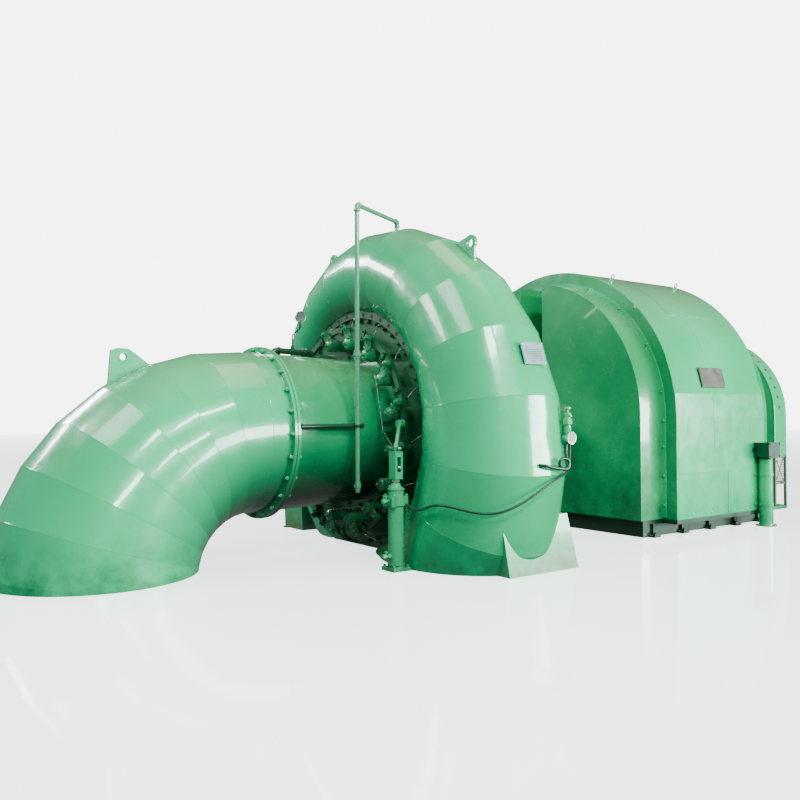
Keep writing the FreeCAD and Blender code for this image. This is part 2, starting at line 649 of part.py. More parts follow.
def generator_fittings():
    length, depth, height = CABLE_BOX
    y_wall = -GEN_HALF_WIDTH
    x0 = CABLE_BOX_X - length / 2
    keep("cable_box", box(x0, x0 + length, y_wall - depth, y_wall, CABLE_BOX_Z, CABLE_BOX_Z + height))
    keep("cable_downpipe", post(DOWNPIPE_R, CABLE_BOX_X, y_wall - DOWNPIPE_R - 2, 0.0, CABLE_BOX_Z))
    length, depth, height = SIDE_PLATE
    turn = math.asin((SIDE_PLATE_Z + height / 2 - GEN_ARCH_Z) / GEN_HALF_WIDTH)
    plate = box(SIDE_PLATE_X, SIDE_PLATE_X + length, -GEN_HALF_WIDTH - depth, -GEN_HALF_WIDTH + 60,
                GEN_ARCH_Z - height / 2, GEN_ARCH_Z + height / 2)
    plate.rotate(vec(0, 0, GEN_ARCH_Z), vec(1, 0, 0), -math.degrees(turn))
    plate = plate.cut(rod(GEN_HALF_WIDTH, SIDE_PLATE_X - 1, SIDE_PLATE_X + length + 1, 0.0, GEN_ARCH_Z))
    keep("side_plate", max(plate.Solids, key=lambda s: s.Volume))


def flywheel_guard():
    x0 = GUARD_X0
    x1 = x0 + GUARD_LENGTH
    outer = box(x0, x1, -GUARD_R, GUARD_R, GUARD_SHEET_Z, GEN_ARCH_Z)
    outer = outer.fuse(rod(GUARD_R, x0, x1, 0.0, GEN_ARCH_Z))
    inner_r = GUARD_R - GUARD_PLATE
    inner = box(x0 + GUARD_PLATE, x1 - GUARD_PLATE, -inner_r, inner_r, GUARD_SHEET_Z - 1, GEN_ARCH_Z)
    inner = inner.fuse(rod(inner_r, x0 + GUARD_PLATE, x1 - GUARD_PLATE, 0.0, GEN_ARCH_Z))
    outer = outer.common(box(x0, x1, -GUARD_R, GUARD_R, GUARD_SHEET_Z, 9000))
    guard = outer.cut(inner)
    slot = rod(GUARD_SLOT_R, x0 - 1, x0 + GUARD_PLATE + 1)
    slot = slot.fuse(box(x0 - 1, x0 + GUARD_PLATE + 1, -GUARD_SLOT_R, GUARD_SLOT_R, 0, SHAFT_HEIGHT))
    keep("guard_cover", guard.cut(slot))
    posts = []
    for side in (-1, 1):
        for x in (x0, x1 - 40.0):
            y = side * (GUARD_R - 20.0)
            posts.append(box(x, x + 40.0, y - 20.0, y + 20.0, SOLE_THICK, GUARD_SHEET_Z))
    panels = []
    for x in (x0, x1 - GUARD_PLATE):
        for y0, y1 in ((-GUARD_R + 40.0, -GUARD_SLOT_R), (GUARD_SLOT_R, GUARD_R - 40.0)):
            panels.append(box(x, x + GUARD_PLATE, y0, y1, GUARD_MESH_Z, GUARD_SHEET_Z))
    keep("guard_frame", Part.makeCompound(posts + panels))
    wheel_x = x0 + (GUARD_LENGTH - FLYWHEEL_THICK) / 2
    keep("flywheel", rod(FLYWHEEL_R, wheel_x, wheel_x + FLYWHEEL_THICK))


# ---------------------------------------------------------------- pipes and instruments
def pipes():
    section = case_section_r(90.0) - CASE_PLATE
    tap_z = SHAFT_HEIGHT + case_centre_r(90.0) + math.sqrt(section ** 2 - VENT_TAP_X ** 2) - 30.0
    vent = bent_tube([(VENT_X, VENT_Y, VENT_BOTTOM_Z), (VENT_X, VENT_Y, VENT_TOP_Z),
                      (VENT_TAP_X, 0.0, VENT_TAP_TOP_Z), (VENT_TAP_X, 0.0, tap_z)], VENT_R, 90.0)
    for part in list(PARTS.values()):
        if part.BoundBox.intersect(vent.BoundBox):
            vent = vent.cut(part)
    vent = max(vent.Solids, key=lambda s: s.Volume)
    branch = rod(BRANCH_R, JOINT_X + FLANGE_THICK, VENT_X + 120.0, VENT_Y + VENT_R + BRANCH_R - 4.0, BRANCH_Z)
    keep("vent_pipe", vent.fuse(branch))
    y = AIR_PIPE_Y
    seat = SHAFT_HEIGHT + ELBOW_START_R - 96.0
    top = SHAFT_HEIGHT + AIR_PIPE_RISE
    pipe = bent_tube([(AIR_PIPE_X0, y, seat), (AIR_PIPE_X0, y, top), (AIR_PIPE_X1, y, top - 20.0),
                      (AIR_PIPE_X1, y, seat - 20.0)], AIR_PIPE_R, AIR_PIPE_BEND)
    pipe = pipe.cut(PARTS["draft_cone"])
    pipe = max(pipe.Solids, key=lambda s: s.BoundBox.ZMax)
    stem = bent_tube([(GAUGE_X, y, top - 15.0), (GAUGE_X, y, top + 200.0),
                      (GAUGE_X, GAUGE_Y, top + 280.0), (GAUGE_X, GAUGE_Y, GAUGE_Z - GAUGE_R)],
                     GAUGE_STEM_R, GAUGE_STEM_BEND)
    keep("air_pipe", pipe.fuse(stem))
    back = vec(GAUGE_X, GAUGE_Y + GAUGE_THICK / 2, GAUGE_Z)
    dial = Part.makeCylinder(GAUGE_R, GAUGE_THICK, back, vec(0, -1, 0))
    keep("pressure_gauge", dial)


def nameplate():
    # a bare plate on four studs, square to the case wall
    length, thick, height = NAMEPLATE
    wall_r = case_centre_r(NAMEPLATE_ANGLE) + case_section_r(NAMEPLATE_ANGLE)
    plate = box(NAMEPLATE_X, NAMEPLATE_X + length, -wall_r - thick, -wall_r,
                SHAFT_HEIGHT - height / 2, SHAFT_HEIGHT + height / 2)
    for x in (NAMEPLATE_X + 25.0, NAMEPLATE_X + length - 25.0):
        for z in (-height / 2 + 25.0, height / 2 - 25.0):
            stud = Part.makeCylinder(7.0, 120.0, vec(x, -wall_r, SHAFT_HEIGHT + z), vec(0, 1, 0))
            plate = plate.fuse(stud)
    plate.rotate(vec(0, 0, SHAFT_HEIGHT), vec(1, 0, 0), -NAMEPLATE_ANGLE)
    for name in ("case_courses_02", "case_courses_03"):
        plate = plate.cut(PARTS[name])
    keep("nameplate", max(plate.Solids, key=lambda s: s.Volume))


def instruments():
    # a round gauge under its isolating valve, fed by a looped siphon pipe from the case
    side = case_centre_r(0.0) + case_section_r(0.0)
    x = GAUGE2_X
    y = GAUGE2_INSET - side
    z = SHAFT_HEIGHT - GAUGE2_BELOW_SHAFT
    gauge = Part.makeCylinder(GAUGE2_R, GAUGE2_THICK, vec(x, y, z), vec(0, -1, 0))
    gland = post(GLAND_R, CABLE_ROUTE[0][0], CABLE_ROUTE[0][1], CABLE_ROUTE[0][2], z)
    gauge = gauge.fuse(gland)
    keep("round_gauge", gauge)
    route = [(along, -side - out, SHAFT_HEIGHT + up) for along, out, up in SIPHON_ROUTE]
    siphon = bent_tube(route, SIPHON_R)
    siphon = siphon.cut(PARTS["case_courses_02"]).cut(gauge)
    siphon = max(siphon.Solids, key=lambda s: s.Volume)
    y_valve = y - GAUGE2_THICK / 2
    valve = post(40.0, x - 20.0, y_valve, z + GAUGE2_R - 20.0, z + GAUGE2_R + 270.0)
    valve = valve.fuse(post(56.0, x - 20.0, y_valve, z + GAUGE2_R + 90.0, z + GAUGE2_R + 150.0))
    valve = valve.cut(gauge)
    keep("siphon_pipe", siphon)
    keep("tap_valve", max(valve.Solids, key=lambda s: s.Volume))
    keep("signal_cable", bent_tube(CABLE_ROUTE, CABLE_R))


def main():
    spiral_case()
    case_lugs()
    case_feet()
    stay_ring()
    head_covers()
    guide_vanes()
    servomotor()
    draft_elbow()
    bolted_flange("draft_elbow_flange", JOINT_X - FLANGE_THICK)
    bolted_flange("draft_cone_flange", JOINT_X)
    draft_cone()
    elbow_lug()
    shaft_line()
    generator()
    generator_base()
    generator_fittings()
    flywheel_guard()
    pipes()
    instruments()
    nameplate()
    whole = FreeCAD.BoundBox()
    for shape in PARTS.values():
        whole.add(shape.optimalBoundingBox(True, False))
    shift = vec(-(whole.XMin + whole.XMax) / 2, -(whole.YMin + whole.YMax) / 2, -whole.ZMin)
    os.makedirs("parts", exist_ok=True)
    for name, shape in PARTS.items():
        placed = shape.copy()
        placed.translate(shift)
        placed.exportStep("parts/%s.step" % name)
        print(name, len(placed.Solids), round(placed.Volume / 1e9, 4), placed.isValid())
    print("shift", shift, "size", whole.XLength, whole.YLength, whole.ZLength)


main()
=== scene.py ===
import math

import bmesh
import bpy
from mathutils import Matrix, Vector


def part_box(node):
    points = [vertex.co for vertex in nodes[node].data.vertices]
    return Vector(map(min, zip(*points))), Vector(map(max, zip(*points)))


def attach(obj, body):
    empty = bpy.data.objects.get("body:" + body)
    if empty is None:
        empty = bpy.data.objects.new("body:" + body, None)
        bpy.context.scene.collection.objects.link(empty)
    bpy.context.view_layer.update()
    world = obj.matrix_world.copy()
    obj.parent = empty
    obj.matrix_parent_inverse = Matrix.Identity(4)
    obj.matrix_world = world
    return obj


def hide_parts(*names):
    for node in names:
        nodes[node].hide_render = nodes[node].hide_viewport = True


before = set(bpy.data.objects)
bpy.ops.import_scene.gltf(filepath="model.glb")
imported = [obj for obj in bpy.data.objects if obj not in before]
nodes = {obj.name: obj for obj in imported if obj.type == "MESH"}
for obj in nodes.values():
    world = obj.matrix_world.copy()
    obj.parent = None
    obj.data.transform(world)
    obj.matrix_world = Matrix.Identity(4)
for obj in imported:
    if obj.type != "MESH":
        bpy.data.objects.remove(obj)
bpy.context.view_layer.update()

# ------------------------------------------------------------------ the machine's own axes
# A Francis turbine and its generator share one shaft. Everything is set out from the
# middle of the spiral case, from the shaft line and from the turbine floor.
ring_low, ring_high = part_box("stay_ring")
runner_low, runner_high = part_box("runner")
case_x = (ring_low[0] + ring_high[0]) / 2
shaft_y = (runner_low[1] + runner_high[1]) / 2
shaft_z = (runner_low[2] + runner_high[2]) / 2
ALONG = Vector((1.0, 0.0, 0.0))
NEAR = Vector((0.0, -1.0, 0.0))
UP = Vector((0.0, 0.0, 1.0))


def at(x, y, z):
    # x from the case's middle, y from the shaft, z from the floor
    return Vector((case_x + x, shaft_y + y, z))


def round_shaft(radius, degrees, x):
    # 0 degrees is level on the inlet side, 90 is straight up
    turn = math.radians(degrees)
    return at(x, -radius * math.cos(turn), shaft_z + radius * math.sin(turn))


def outwards(degrees):
    turn = math.radians(degrees)
    return Vector((0.0, -math.cos(turn), math.sin(turn)))


# ------------------------------------------------------------------ gloss enamel on the spiral case
# The whole set is sprayed in a mint green gloss enamel over filled and sanded plate.
# It has a slight ripple, thin grime low down, a warm dust with a painted warm sheen where it lies flat, and
# painted shade on the faces that look down.
ENAMEL = (0.005, 0.430, 0.178)
ENAMEL_SHADE = (0.003, 0.335, 0.125)
ENAMEL_GRIME = (0.010, 0.085, 0.036)
DUST_AND_CEILING_SHEEN = (0.200, 0.250, 0.120)
OIL_BLACK_AND_SHADE = (0.001, 0.022, 0.009)


def new_material(name):
    material = bpy.data.materials.new(name)
    material.use_nodes = True
    tree = material.node_tree
    tree.nodes.clear()
    out = tree.nodes.new("ShaderNodeOutputMaterial")
    skin = tree.nodes.new("ShaderNodeBsdfPrincipled")
    tree.links.new(skin.outputs["BSDF"], out.inputs["Surface"])
    where = tree.nodes.new("ShaderNodeTexCoord")
    return material, tree, skin, where


def cloudy(tree, where, scale, detail=3.0, rough=0.55):
    noise = tree.nodes.new("ShaderNodeTexNoise")
    noise.inputs["Scale"].default_value = scale
    noise.inputs["Detail"].default_value = detail
    noise.inputs["Roughness"].default_value = rough
    tree.links.new(where.outputs["Object"], noise.inputs["Vector"])
    return noise.outputs["Fac"]


def ramp(tree, value, low, high, low_out=0.0, high_out=1.0):
    spread = tree.nodes.new("ShaderNodeMapRange")
    spread.inputs["From Min"].default_value = low
    spread.inputs["From Max"].default_value = high
    spread.inputs["To Min"].default_value = low_out
    spread.inputs["To Max"].default_value = high_out
    tree.links.new(value, spread.inputs["Value"])
    return spread.outputs["Result"]


def blend_colour(tree, amount, first, second):
    mix = tree.nodes.new("ShaderNodeMix")
    mix.data_type = "RGBA"
    tree.links.new(amount, mix.inputs["Factor"])
    for socket, colour in ((mix.inputs["A"], first), (mix.inputs["B"], second)):
        if isinstance(colour, tuple):
            socket.default_value = (*colour, 1.0)
        else:
            tree.links.new(colour, socket)
    return mix.outputs["Result"]


def product(tree, first, second):
    times = tree.nodes.new("ShaderNodeMath")
    times.operation = "MULTIPLY"
    tree.links.new(first, times.inputs[0])
    if isinstance(second, float):
        times.inputs[1].default_value = second
    else:
        tree.links.new(second, times.inputs[1])
    return times.outputs["Value"]


def bump(tree, skin, height, strength, distance):
    dent = tree.nodes.new("ShaderNodeBump")
    dent.inputs["Strength"].default_value = strength
    dent.inputs["Distance"].default_value = distance
    tree.links.new(height, dent.inputs["Height"])
    tree.links.new(dent.outputs["Normal"], skin.inputs["Normal"])


def height_above_floor(tree, where):
    split = tree.nodes.new("ShaderNodeSeparateXYZ")
    tree.links.new(where.outputs["Object"], split.inputs["Vector"])
    return split.outputs["Z"]


def facing_up(tree):
    facing = tree.nodes.new("ShaderNodeNewGeometry")
    split = tree.nodes.new("ShaderNodeSeparateXYZ")
    tree.links.new(facing.outputs["Normal"], split.inputs["Vector"])
    return split.outputs["Z"]


def enamel(name, colour, shade, grime_and_shade, grime_and_shade_top=0.5, roughness=0.16, dust_and_sheen=0.5, gloss=0.5,
           grime_and_shade_share=0.0, underside_shade=0.0):
    # grime darkens the paint up to a given height and keeps a share of it above that; on the shaded parts it
    # is painted shade darkening towards the bottom. Dust with a painted warm sheen lies on flat tops, and
    # painted shade in oil black on the faces that look down
    material, tree, skin, where = new_material(name)
    drift = ramp(tree, cloudy(tree, where, 0.6, 2.0), 0.36, 0.64)
    paint = blend_colour(tree, drift, shade, colour)
    speck = ramp(tree, cloudy(tree, where, 42.0, 4.0, 0.7), 0.66, 0.74, 0.0, 0.25)
    paint = blend_colour(tree, speck, paint, tuple(0.55 * c for c in shade))
    # upward faces take a warm dust with a painted warm sheen from the ceiling
    flat = ramp(tree, facing_up(tree), 0.45, 1.0, 0.0, dust_and_sheen)
    dust_and_sheen_patches = ramp(tree, cloudy(tree, where, 1.7, 5.0, 0.65), 0.3, 0.7, 0.45, 1.0)
    paint = blend_colour(tree, product(tree, flat, dust_and_sheen_patches), paint, DUST_AND_CEILING_SHEEN)
    # faces that look down are blended to oil black: painted shade
    painted_underside_shade = ramp(tree, facing_up(tree), -0.80, 0.05, underside_shade, 0.0)
    paint = blend_colour(tree, painted_underside_shade, paint, OIL_BLACK_AND_SHADE)
    # darker towards the bottom: grime on most parts, painted shade on the end covers, cone, gear and its
    # recess
    low = ramp(tree, height_above_floor(tree, where), 0.0, grime_and_shade_top, 1.0, grime_and_shade_share)
    patch = ramp(tree, cloudy(tree, where, 3.4, 6.0, 0.7), 0.35, 0.72)
    paint = blend_colour(tree, product(tree, low, patch), paint, grime_and_shade)
    tree.links.new(paint, skin.inputs["Base Color"])
    wear = ramp(tree, cloudy(tree, where, 5.0, 5.0, 0.65), 0.3, 0.75, roughness, roughness + 0.16)
    tree.links.new(wear, skin.inputs["Roughness"])
    skin.inputs["Coat Weight"].default_value = gloss
    skin.inputs["Coat Roughness"].default_value = 0.05
    bump(tree, skin, cloudy(tree, where, 2.2, 2.0), 0.45, 0.014)
    return material


def paint_nodes(material, *names):
    for name in names:
        for slot in nodes[name].material_slots:
            slot.material = material


# the case's faces that look down get painted shade in oil black
green = enamel("gloss_green_enamel", ENAMEL, ENAMEL_SHADE, ENAMEL_GRIME, underside_shade=0.55)
paint_nodes(green, *[name for name in nodes if name.startswith("case_courses")])


def hoop(mesh, centre, across, lift, radius, sides):
    # a ring of corners round a centre
    return [mesh.verts.new(centre + (across * math.cos(math.tau * k / sides)
                                     + lift * math.sin(math.tau * k / sides)) * radius)
            for k in range(sides)]


def bridge(mesh, rings):
    # faces between each ring of corners and the next
    for low, high in zip(rings, rings[1:]):
        for k in range(len(low)):
            j = (k + 1) % len(low)
            mesh.faces.new((low[k], low[j], high[j], high[k]))


def swept(mesh, points, radius, sides=10, ripple=0.0, guide=Vector((0.31, 0.93, 0.17))):
    # a round bar along a run of points, its two ends closed
    rings = []
    for number, point in enumerate(points):
        before = points[max(number - 1, 0)]
        after = points[min(number + 1, len(points) - 1)]
        run = (after - before).normalized()
        side = run.cross(guide).normalized()
        size = radius * (1.0 + ripple * math.sin(2.4 * number))
        rings.append(hoop(mesh, point, side, side.cross(run), size, sides))
    bridge(mesh, rings)
    mesh.faces.new(rings[0])
    mesh.faces.new(rings[-1])


def carry(piece):
    # every piece rides on the machine, which is one fixed body
    bpy.context.collection.objects.link(piece)
    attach(piece, "root")


def fit(name, mesh, finish, crease=32.0):
    # a finished piece; edges sharper than the crease angle stay crisp
    data = bpy.data.meshes.new(name)
    bmesh.ops.recalc_face_normals(mesh, faces=mesh.faces[:])
    mesh.to_mesh(data)
    mesh.free()
    data.materials.append(finish)
    data.shade_smooth()
    data.set_sharp_from_angle(angle=math.radians(crease))
    piece = bpy.data.objects.new(name, data)
    carry(piece)
    return piece


# ------------------------------------------------------------------ weld seams of the spiral case
# Each rolled course is butt-welded to the next all round its section, and to the two
# rings of the stay ring. The beads are ground low and painted over.
CASE_R_LEVEL = 0.780
CASE_R_LOSS = 0.00233
RING_OUT_R = 1.560
RING_HALF = 0.354
BEAD_R, RING_BEAD_R, BEAD_SINK = 0.0042, 0.009, 0.0025
FLOOR_GAP = 0.012
FIRST_SEAM, LAST_SEAM, COURSE = -56, 200, 16


def case_section(degrees):
    # the section's radius and how far its centre lies from the shaft
    section = max(CASE_R_LEVEL - CASE_R_LOSS * degrees, RING_HALF + 0.001)
    return section, RING_OUT_R + math.sqrt(section ** 2 - RING_HALF ** 2)


def case_skin(degrees, round_section, out=0.0):
    # 0 is the point farthest from the shaft, negative turns towards the draft tube
    section, centre = case_section(degrees)
    turn = math.radians(round_section)
    return round_shaft(centre + (section + out) * math.cos(turn), degrees, (section + out) * math.sin(turn))


def above_floor(line):
    return [point for point in line if point.z > FLOOR_GAP]


mesh = bmesh.new()
for seam in range(FIRST_SEAM, LAST_SEAM + 1, COURSE):
    last = 180 - math.degrees(math.asin(RING_HALF / case_section(seam)[0]))
    line = above_floor([case_skin(seam, -last + last * k / 48, -BEAD_SINK) for k in range(97)])
    if len(line) > 3:
        swept(mesh, line, BEAD_R, 6, 0.03)
for x in (-RING_HALF - 0.002, RING_HALF + 0.002):
    line = above_floor([round_shaft(RING_OUT_R + 0.004, -60 + 300 * k / 200, x) for k in range(201)])
    swept(mesh, line, RING_BEAD_R, 6, 0.1, ALONG)
fit("case_weld_seams", mesh, green)


# ------------------------------------------------------------------ case lifting eyes
# Two round-headed plate eyes are flame-cut, drilled for a shackle and fillet-welded to the crown.
def turned(mesh, start, along, profile, sides=20, hollow=False):
    # a turned body: the profile gives its radius at each distance along
    along = along.normalized()
    across = along.orthogonal().normalized()
    lift = along.cross(across)
    rings = []
    for distance, radius in profile:
        centre = start + along * distance
        if radius > 0.0:
            rings.append(hoop(mesh, centre, across, lift, radius, sides))
        else:
            rings.append([mesh.verts.new(centre)])
    for low, high in zip(rings, rings[1:] + (rings[:1] if hollow else [])):
        for k in range(sides):
            j = (k + 1) % sides
            corners = [low[k % len(low)], low[j % len(low)], high[j % len(high)], high[k % len(high)]]
            corners = list(dict.fromkeys(corners))
            if len(corners) > 2:
                mesh.faces.new(corners)
    if not hollow:
        for ring in (rings[0], rings[-1]):
            if len(ring) > 1:
                mesh.faces.new(ring)


def ring_band(mesh, centre, along, inner, outer, thick, sides=32):
    # a flat washer-like band with eased edges
    ease = min(0.15 * thick, 0.002)
    turned(mesh, centre, along, [(0, inner), (0, outer - ease), (ease, outer), (thick - ease, outer),
                                 (thick, outer - ease), (thick, inner)], sides, True)


lug_paint = enamel("lug_enamel", ENAMEL, ENAMEL_SHADE, ENAMEL_GRIME, 0.5, 0.2, 0.15)
paint_nodes(lug_paint, "case_lifting_lugs", "draft_elbow_lug")
LUGS = ((49.0, 0.105), (114.0, 0.190))  # degrees round the shaft, height of the eye over the case
LUG_HOLE_R = 0.052
mesh = bmesh.new()
for degrees, height in LUGS:
    section, centre = case_section(degrees)
    eye = round_shaft(centre + section + height, degrees, 0.0)
    for side in (-1, 1):
        ring_band(mesh, eye + ALONG * side * 0.017, ALONG * side, LUG_HOLE_R, LUG_HOLE_R + 0.022, 0.006)
        line = [case_skin(degrees + lean, 1.35 * side, 0.004) for lean in range(-4, 5)]
        swept(mesh, line, 0.010, 6, 0.15, ALONG)
fit("case_lug_welds", mesh, lug_paint)


# ------------------------------------------------------------------ case feet
# The case stands on two box feet, welded on and held down by studs with nuts. The paint
# at the near foot's floor edge has rusted through.
def bolt(mesh, seat, along, flats):
    # hexagon head on a washer, with the thread's end standing proud
    along = along.normalized()
    for start, profile, sides in ((0.0, ((0, 0.60), (0.06, 0.62), (0.12, 0.60)), 16),
                                  (0.12, ((0, 0.577), (0.50, 0.577), (0.60, 0.50)), 6),
                                  (0.72, ((0, 0.30), (0.20, 0.30), (0.26, 0.24)), 10)):
        turned(mesh, seat + along * start * flats, along,
               [(distance * flats, radius * flats) for distance, radius in profile], sides)


def block(mesh, centre, size, edge=0.004, turn=Matrix.Identity(3)):
    # a plate or block with eased edges
    corners = bmesh.ops.create_cube(mesh, size=1.0)["verts"]
    for corner in corners:
        corner.co = centre + turn @ Vector([corner.co[k] * size[k] for k in range(3)])
    edges = list(dict.fromkeys(line for corner in corners for line in corner.link_edges))
    bmesh.ops.bevel(mesh, geom=edges, offset=edge, segments=2, affect="EDGES")


RUST = (0.105, 0.032, 0.010)
foot_paint = enamel("rusty_foot_enamel", ENAMEL, ENAMEL_SHADE, RUST, 0.62, 0.24, 0.3)
paint_nodes(foot_paint, "case_foot_near", "case_foot_far")
FOOT_STRAP = 0.018
near_low, near_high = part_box("case_foot_near")
far_low, far_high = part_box("case_foot_far")
mesh = bmesh.new()
for low, high, y in ((near_low, near_high, near_low[1] + 0.05), (far_low, far_high, far_high[1] - 0.05)):
    for share in (0.12, 0.42, 0.88):
        seat = Vector((low[0] + share * (high[0] - low[0]), y, FOOT_STRAP))
        block(mesh, seat - UP * FOOT_STRAP / 2, (0.14, 0.095, FOOT_STRAP), 0.003)
        bolt(mesh, seat, UP, 0.046)
fit("case_foot_clamps", mesh, foot_paint)

# ------------------------------------------------------------------ stay ring and head cover
# The turbine's front cover is bolted into the stay ring. It is painted like the rest but
# darker, with some oil grime: its deep green, going to oil black towards the bottom, is painted shade in the
# recess round the gear.
RECESS_SHADE_AND_GRIME = (0.003, 0.150, 0.052)
RECESS_SHADE_AND_GRIME_DEEP = (0.003, 0.060, 0.022)
recess_shade_and_grime_green = enamel("recess_shade_and_grime_enamel", RECESS_SHADE_AND_GRIME, RECESS_SHADE_AND_GRIME_DEEP, OIL_BLACK_AND_SHADE, 1.6, 0.38, 0.08, 0.15, 0.40)
paint_nodes(recess_shade_and_grime_green, "head_cover_front", "head_cover_rear", "stay_ring", "stay_vanes", "operating_ring")
COVER_FACE_X = -0.314
COVER_BOLTS = 48
OUTER_NUT_CIRCLE, INNER_NUT_CIRCLE, JACKING_CIRCLE = 1.425, 0.965, 1.508
mesh = bmesh.new()
for number in range(COVER_BOLTS):
    degrees = 360.0 * (number + 0.5) / COVER_BOLTS
    seat = round_shaft(OUTER_NUT_CIRCLE, degrees, COVER_FACE_X)
    if seat.z > 0.06:
        bolt(mesh, seat, -ALONG, 0.050)
for number in range(COVER_BOLTS // 2):
    degrees = 360.0 * (number + 0.5) / (COVER_BOLTS // 2)
    seat = round_shaft(INNER_NUT_CIRCLE, degrees, COVER_FACE_X - 0.040)
    bolt(mesh, seat, -ALONG, 0.036)
fit("head_cover_nuts", mesh, recess_shade_and_grime_green)
# the jacking holes are drawn as near-black discs: painted shade in the holes
mesh = bmesh.new()
for number in range(COVER_BOLTS):
    centre = round_shaft(JACKING_CIRCLE, 360.0 * number / COVER_BOLTS, -RING_HALF - 0.004)
    if centre.z > 0.08:
        turned(mesh, centre, ALONG, [(0.0, 0.024), (0.004, 0.026)], 14)


def mottled(name, grain, first, second, roughness, metallic=0.0, spread=(0.3, 0.7)):
    # a finish that drifts between two tones; grain is the drift's scale, detail and roughness
    material, tree, skin, where = new_material(name)
    tone = ramp(tree, cloudy(tree, where, *grain), *spread)
    tree.links.new(blend_colour(tree, tone, first, second), skin.inputs["Base Color"])
    if isinstance(roughness, float):
        skin.inputs["Roughness"].default_value = roughness
    else:
        tree.links.new(ramp(tree, tone, 0.0, 1.0, *roughness), skin.inputs["Roughness"])
    skin.inputs["Metallic"].default_value = metallic
    return material


# near-black discs stand in for the insides of holes: painted shade
hole_painted_shade = mottled("painted_hole_shade", (30.0, 2.0), (0.004, 0.008, 0.006), (0.012, 0.018, 0.014), 0.8)
fit("stay_ring_jacking_hole_shade", mesh, hole_painted_shade)

# ------------------------------------------------------------------ guide vane gear
# Sixteen guide vane stems stand out through bosses in the cover. Each carries a cast lever
# with a domed cap, and its link pin is held to the operating ring by a plate and a nut.
VANES = 16
STEM_CIRCLE_R = 1.130
PIN_CIRCLE_R = 1.3106
PIN_LEAD = 4.5
LEVER_FACE_X = -0.604
# the gear's darker green, going to oil black towards the bottom, is painted shade in the recess, with some
# oil grime
gear_shade_and_grime_green = enamel("guide_gear_shade_and_grime_enamel", (0.020, 0.300, 0.120), (0.008, 0.160, 0.062), OIL_BLACK_AND_SHADE,
                    1.5, 0.28, 0.45, 0.4, 0.3)
paint_nodes(gear_shade_and_grime_green, "guide_vane_bosses", "guide_vane_levers")
bright_steel = mottled("bright_machined_steel", (24.0, 5.0, 0.7), (0.42, 0.44, 0.42), (0.62, 0.64, 0.62),
                       (0.22, 0.40), 1.0)
paint_nodes(bright_steel, "guide_vanes", "turbine_shaft", "rear_shaft")

mesh = bmesh.new()
links = bmesh.new()
for number in range(VANES):
    degrees = 360.0 * (number + 0.5) / VANES
    stem = round_shaft(STEM_CIRCLE_R, degrees, LEVER_FACE_X)
    pin = round_shaft(PIN_CIRCLE_R, degrees + PIN_LEAD, LEVER_FACE_X)
    turned(mesh, stem, -ALONG, [(0, 0.074), (0.012, 0.074), (0.020, 0.068), (0.034, 0.056), (0.042, 0.036),
                                (0.045, 0.0)], 24)
    bolt(mesh, stem - ALONG * 0.044, -ALONG, 0.034)
    for turn in range(6):
        spin = Matrix.Rotation(math.tau * turn / 6, 3, "X") @ UP
        bolt(mesh, stem - ALONG * 0.006 + spin * 0.066, -ALONG, 0.014)
    bolt(mesh, pin, -ALONG, 0.046)
    # lozenge keeper plate from the pin to the ring
    along = (pin - stem).normalized()
    tip = pin + along * 0.060
    across = ALONG.cross(along)
    outline = [tip, pin + across * 0.044 + along * 0.010, pin - along * 0.070,
               pin - across * 0.044 + along * 0.010]
    front = [links.verts.new(corner - ALONG * 0.012) for corner in outline]
    back = [links.verts.new(corner - ALONG * 0.001) for corner in outline]
    links.faces.new(front)
    links.faces.new(back)
    bridge(links, [front, back])
    # shear pin stands up beside the stem, and a clamp bolt crosses the lever's split
    turned(mesh, stem + across * 0.052 + along * 0.055 - ALONG * 0.002, -ALONG,
           [(0, 0.013), (0.030, 0.013), (0.034, 0.009)], 10)
    turned(mesh, stem + along * 0.095 - across * 0.070 + ALONG * 0.020, across,
           [(0, 0.012), (0.014, 0.014), (0.126, 0.014), (0.140, 0.012)], 8)
fit("guide_vane_caps", mesh, gear_shade_and_grime_green)
fit("guide_vane_keeper_plates", links, gear_shade_and_grime_green, 20)

# thin bright drain and grease tubes run out from the bosses over the cover
TUBE_INNER_R, TUBE_OUTER_R, TUBE_R = 1.365, 1.448, 0.0065
mesh = bmesh.new()
for number in range(VANES):
    degrees = 360.0 * (number + 0.5) / VANES + 7.5
    inner = round_shaft(TUBE_INNER_R, degrees - 1.5, -0.470)
    outer = round_shaft(TUBE_OUTER_R, degrees + 2.0, -0.395)
    if outer.z > 0.10:
        swept(mesh, [inner, inner.lerp(outer, 0.5) - ALONG * 0.010, outer], TUBE_R, 8)
        turned(mesh, inner - outwards(degrees) * 0.012, outwards(degrees), [(0, 0.013), (0.024, 0.013)], 6)
        turned(mesh, outer, ALONG, [(0, 0.014), (0.081, 0.014)], 8)
fit("grease_tubes", mesh, bright_steel)

# the operating ring's retaining strips: short bars bolted over its front face
mesh = bmesh.new()
RING_FACE_X, STRIP_CIRCLE, STRIP_THICK = -0.544, 1.300, 0.024
for number in range(VANES):
    degrees = 360.0 * number / VANES
    centre = round_shaft(STRIP_CIRCLE, degrees, RING_FACE_X - STRIP_THICK / 2)
    if centre.z > 0.06:
        turn = Matrix.Rotation(-math.radians(degrees), 3, "X")
        block(mesh, centre, (STRIP_THICK, 0.150, 0.060), 0.004, turn)
        for step in (-0.045, 0.045):
            bolt(mesh, centre - ALONG * STRIP_THICK / 2 + outwards(degrees) * step, -ALONG, 0.022)
fit("operating_ring_strips", mesh, recess_shade_and_grime_green)

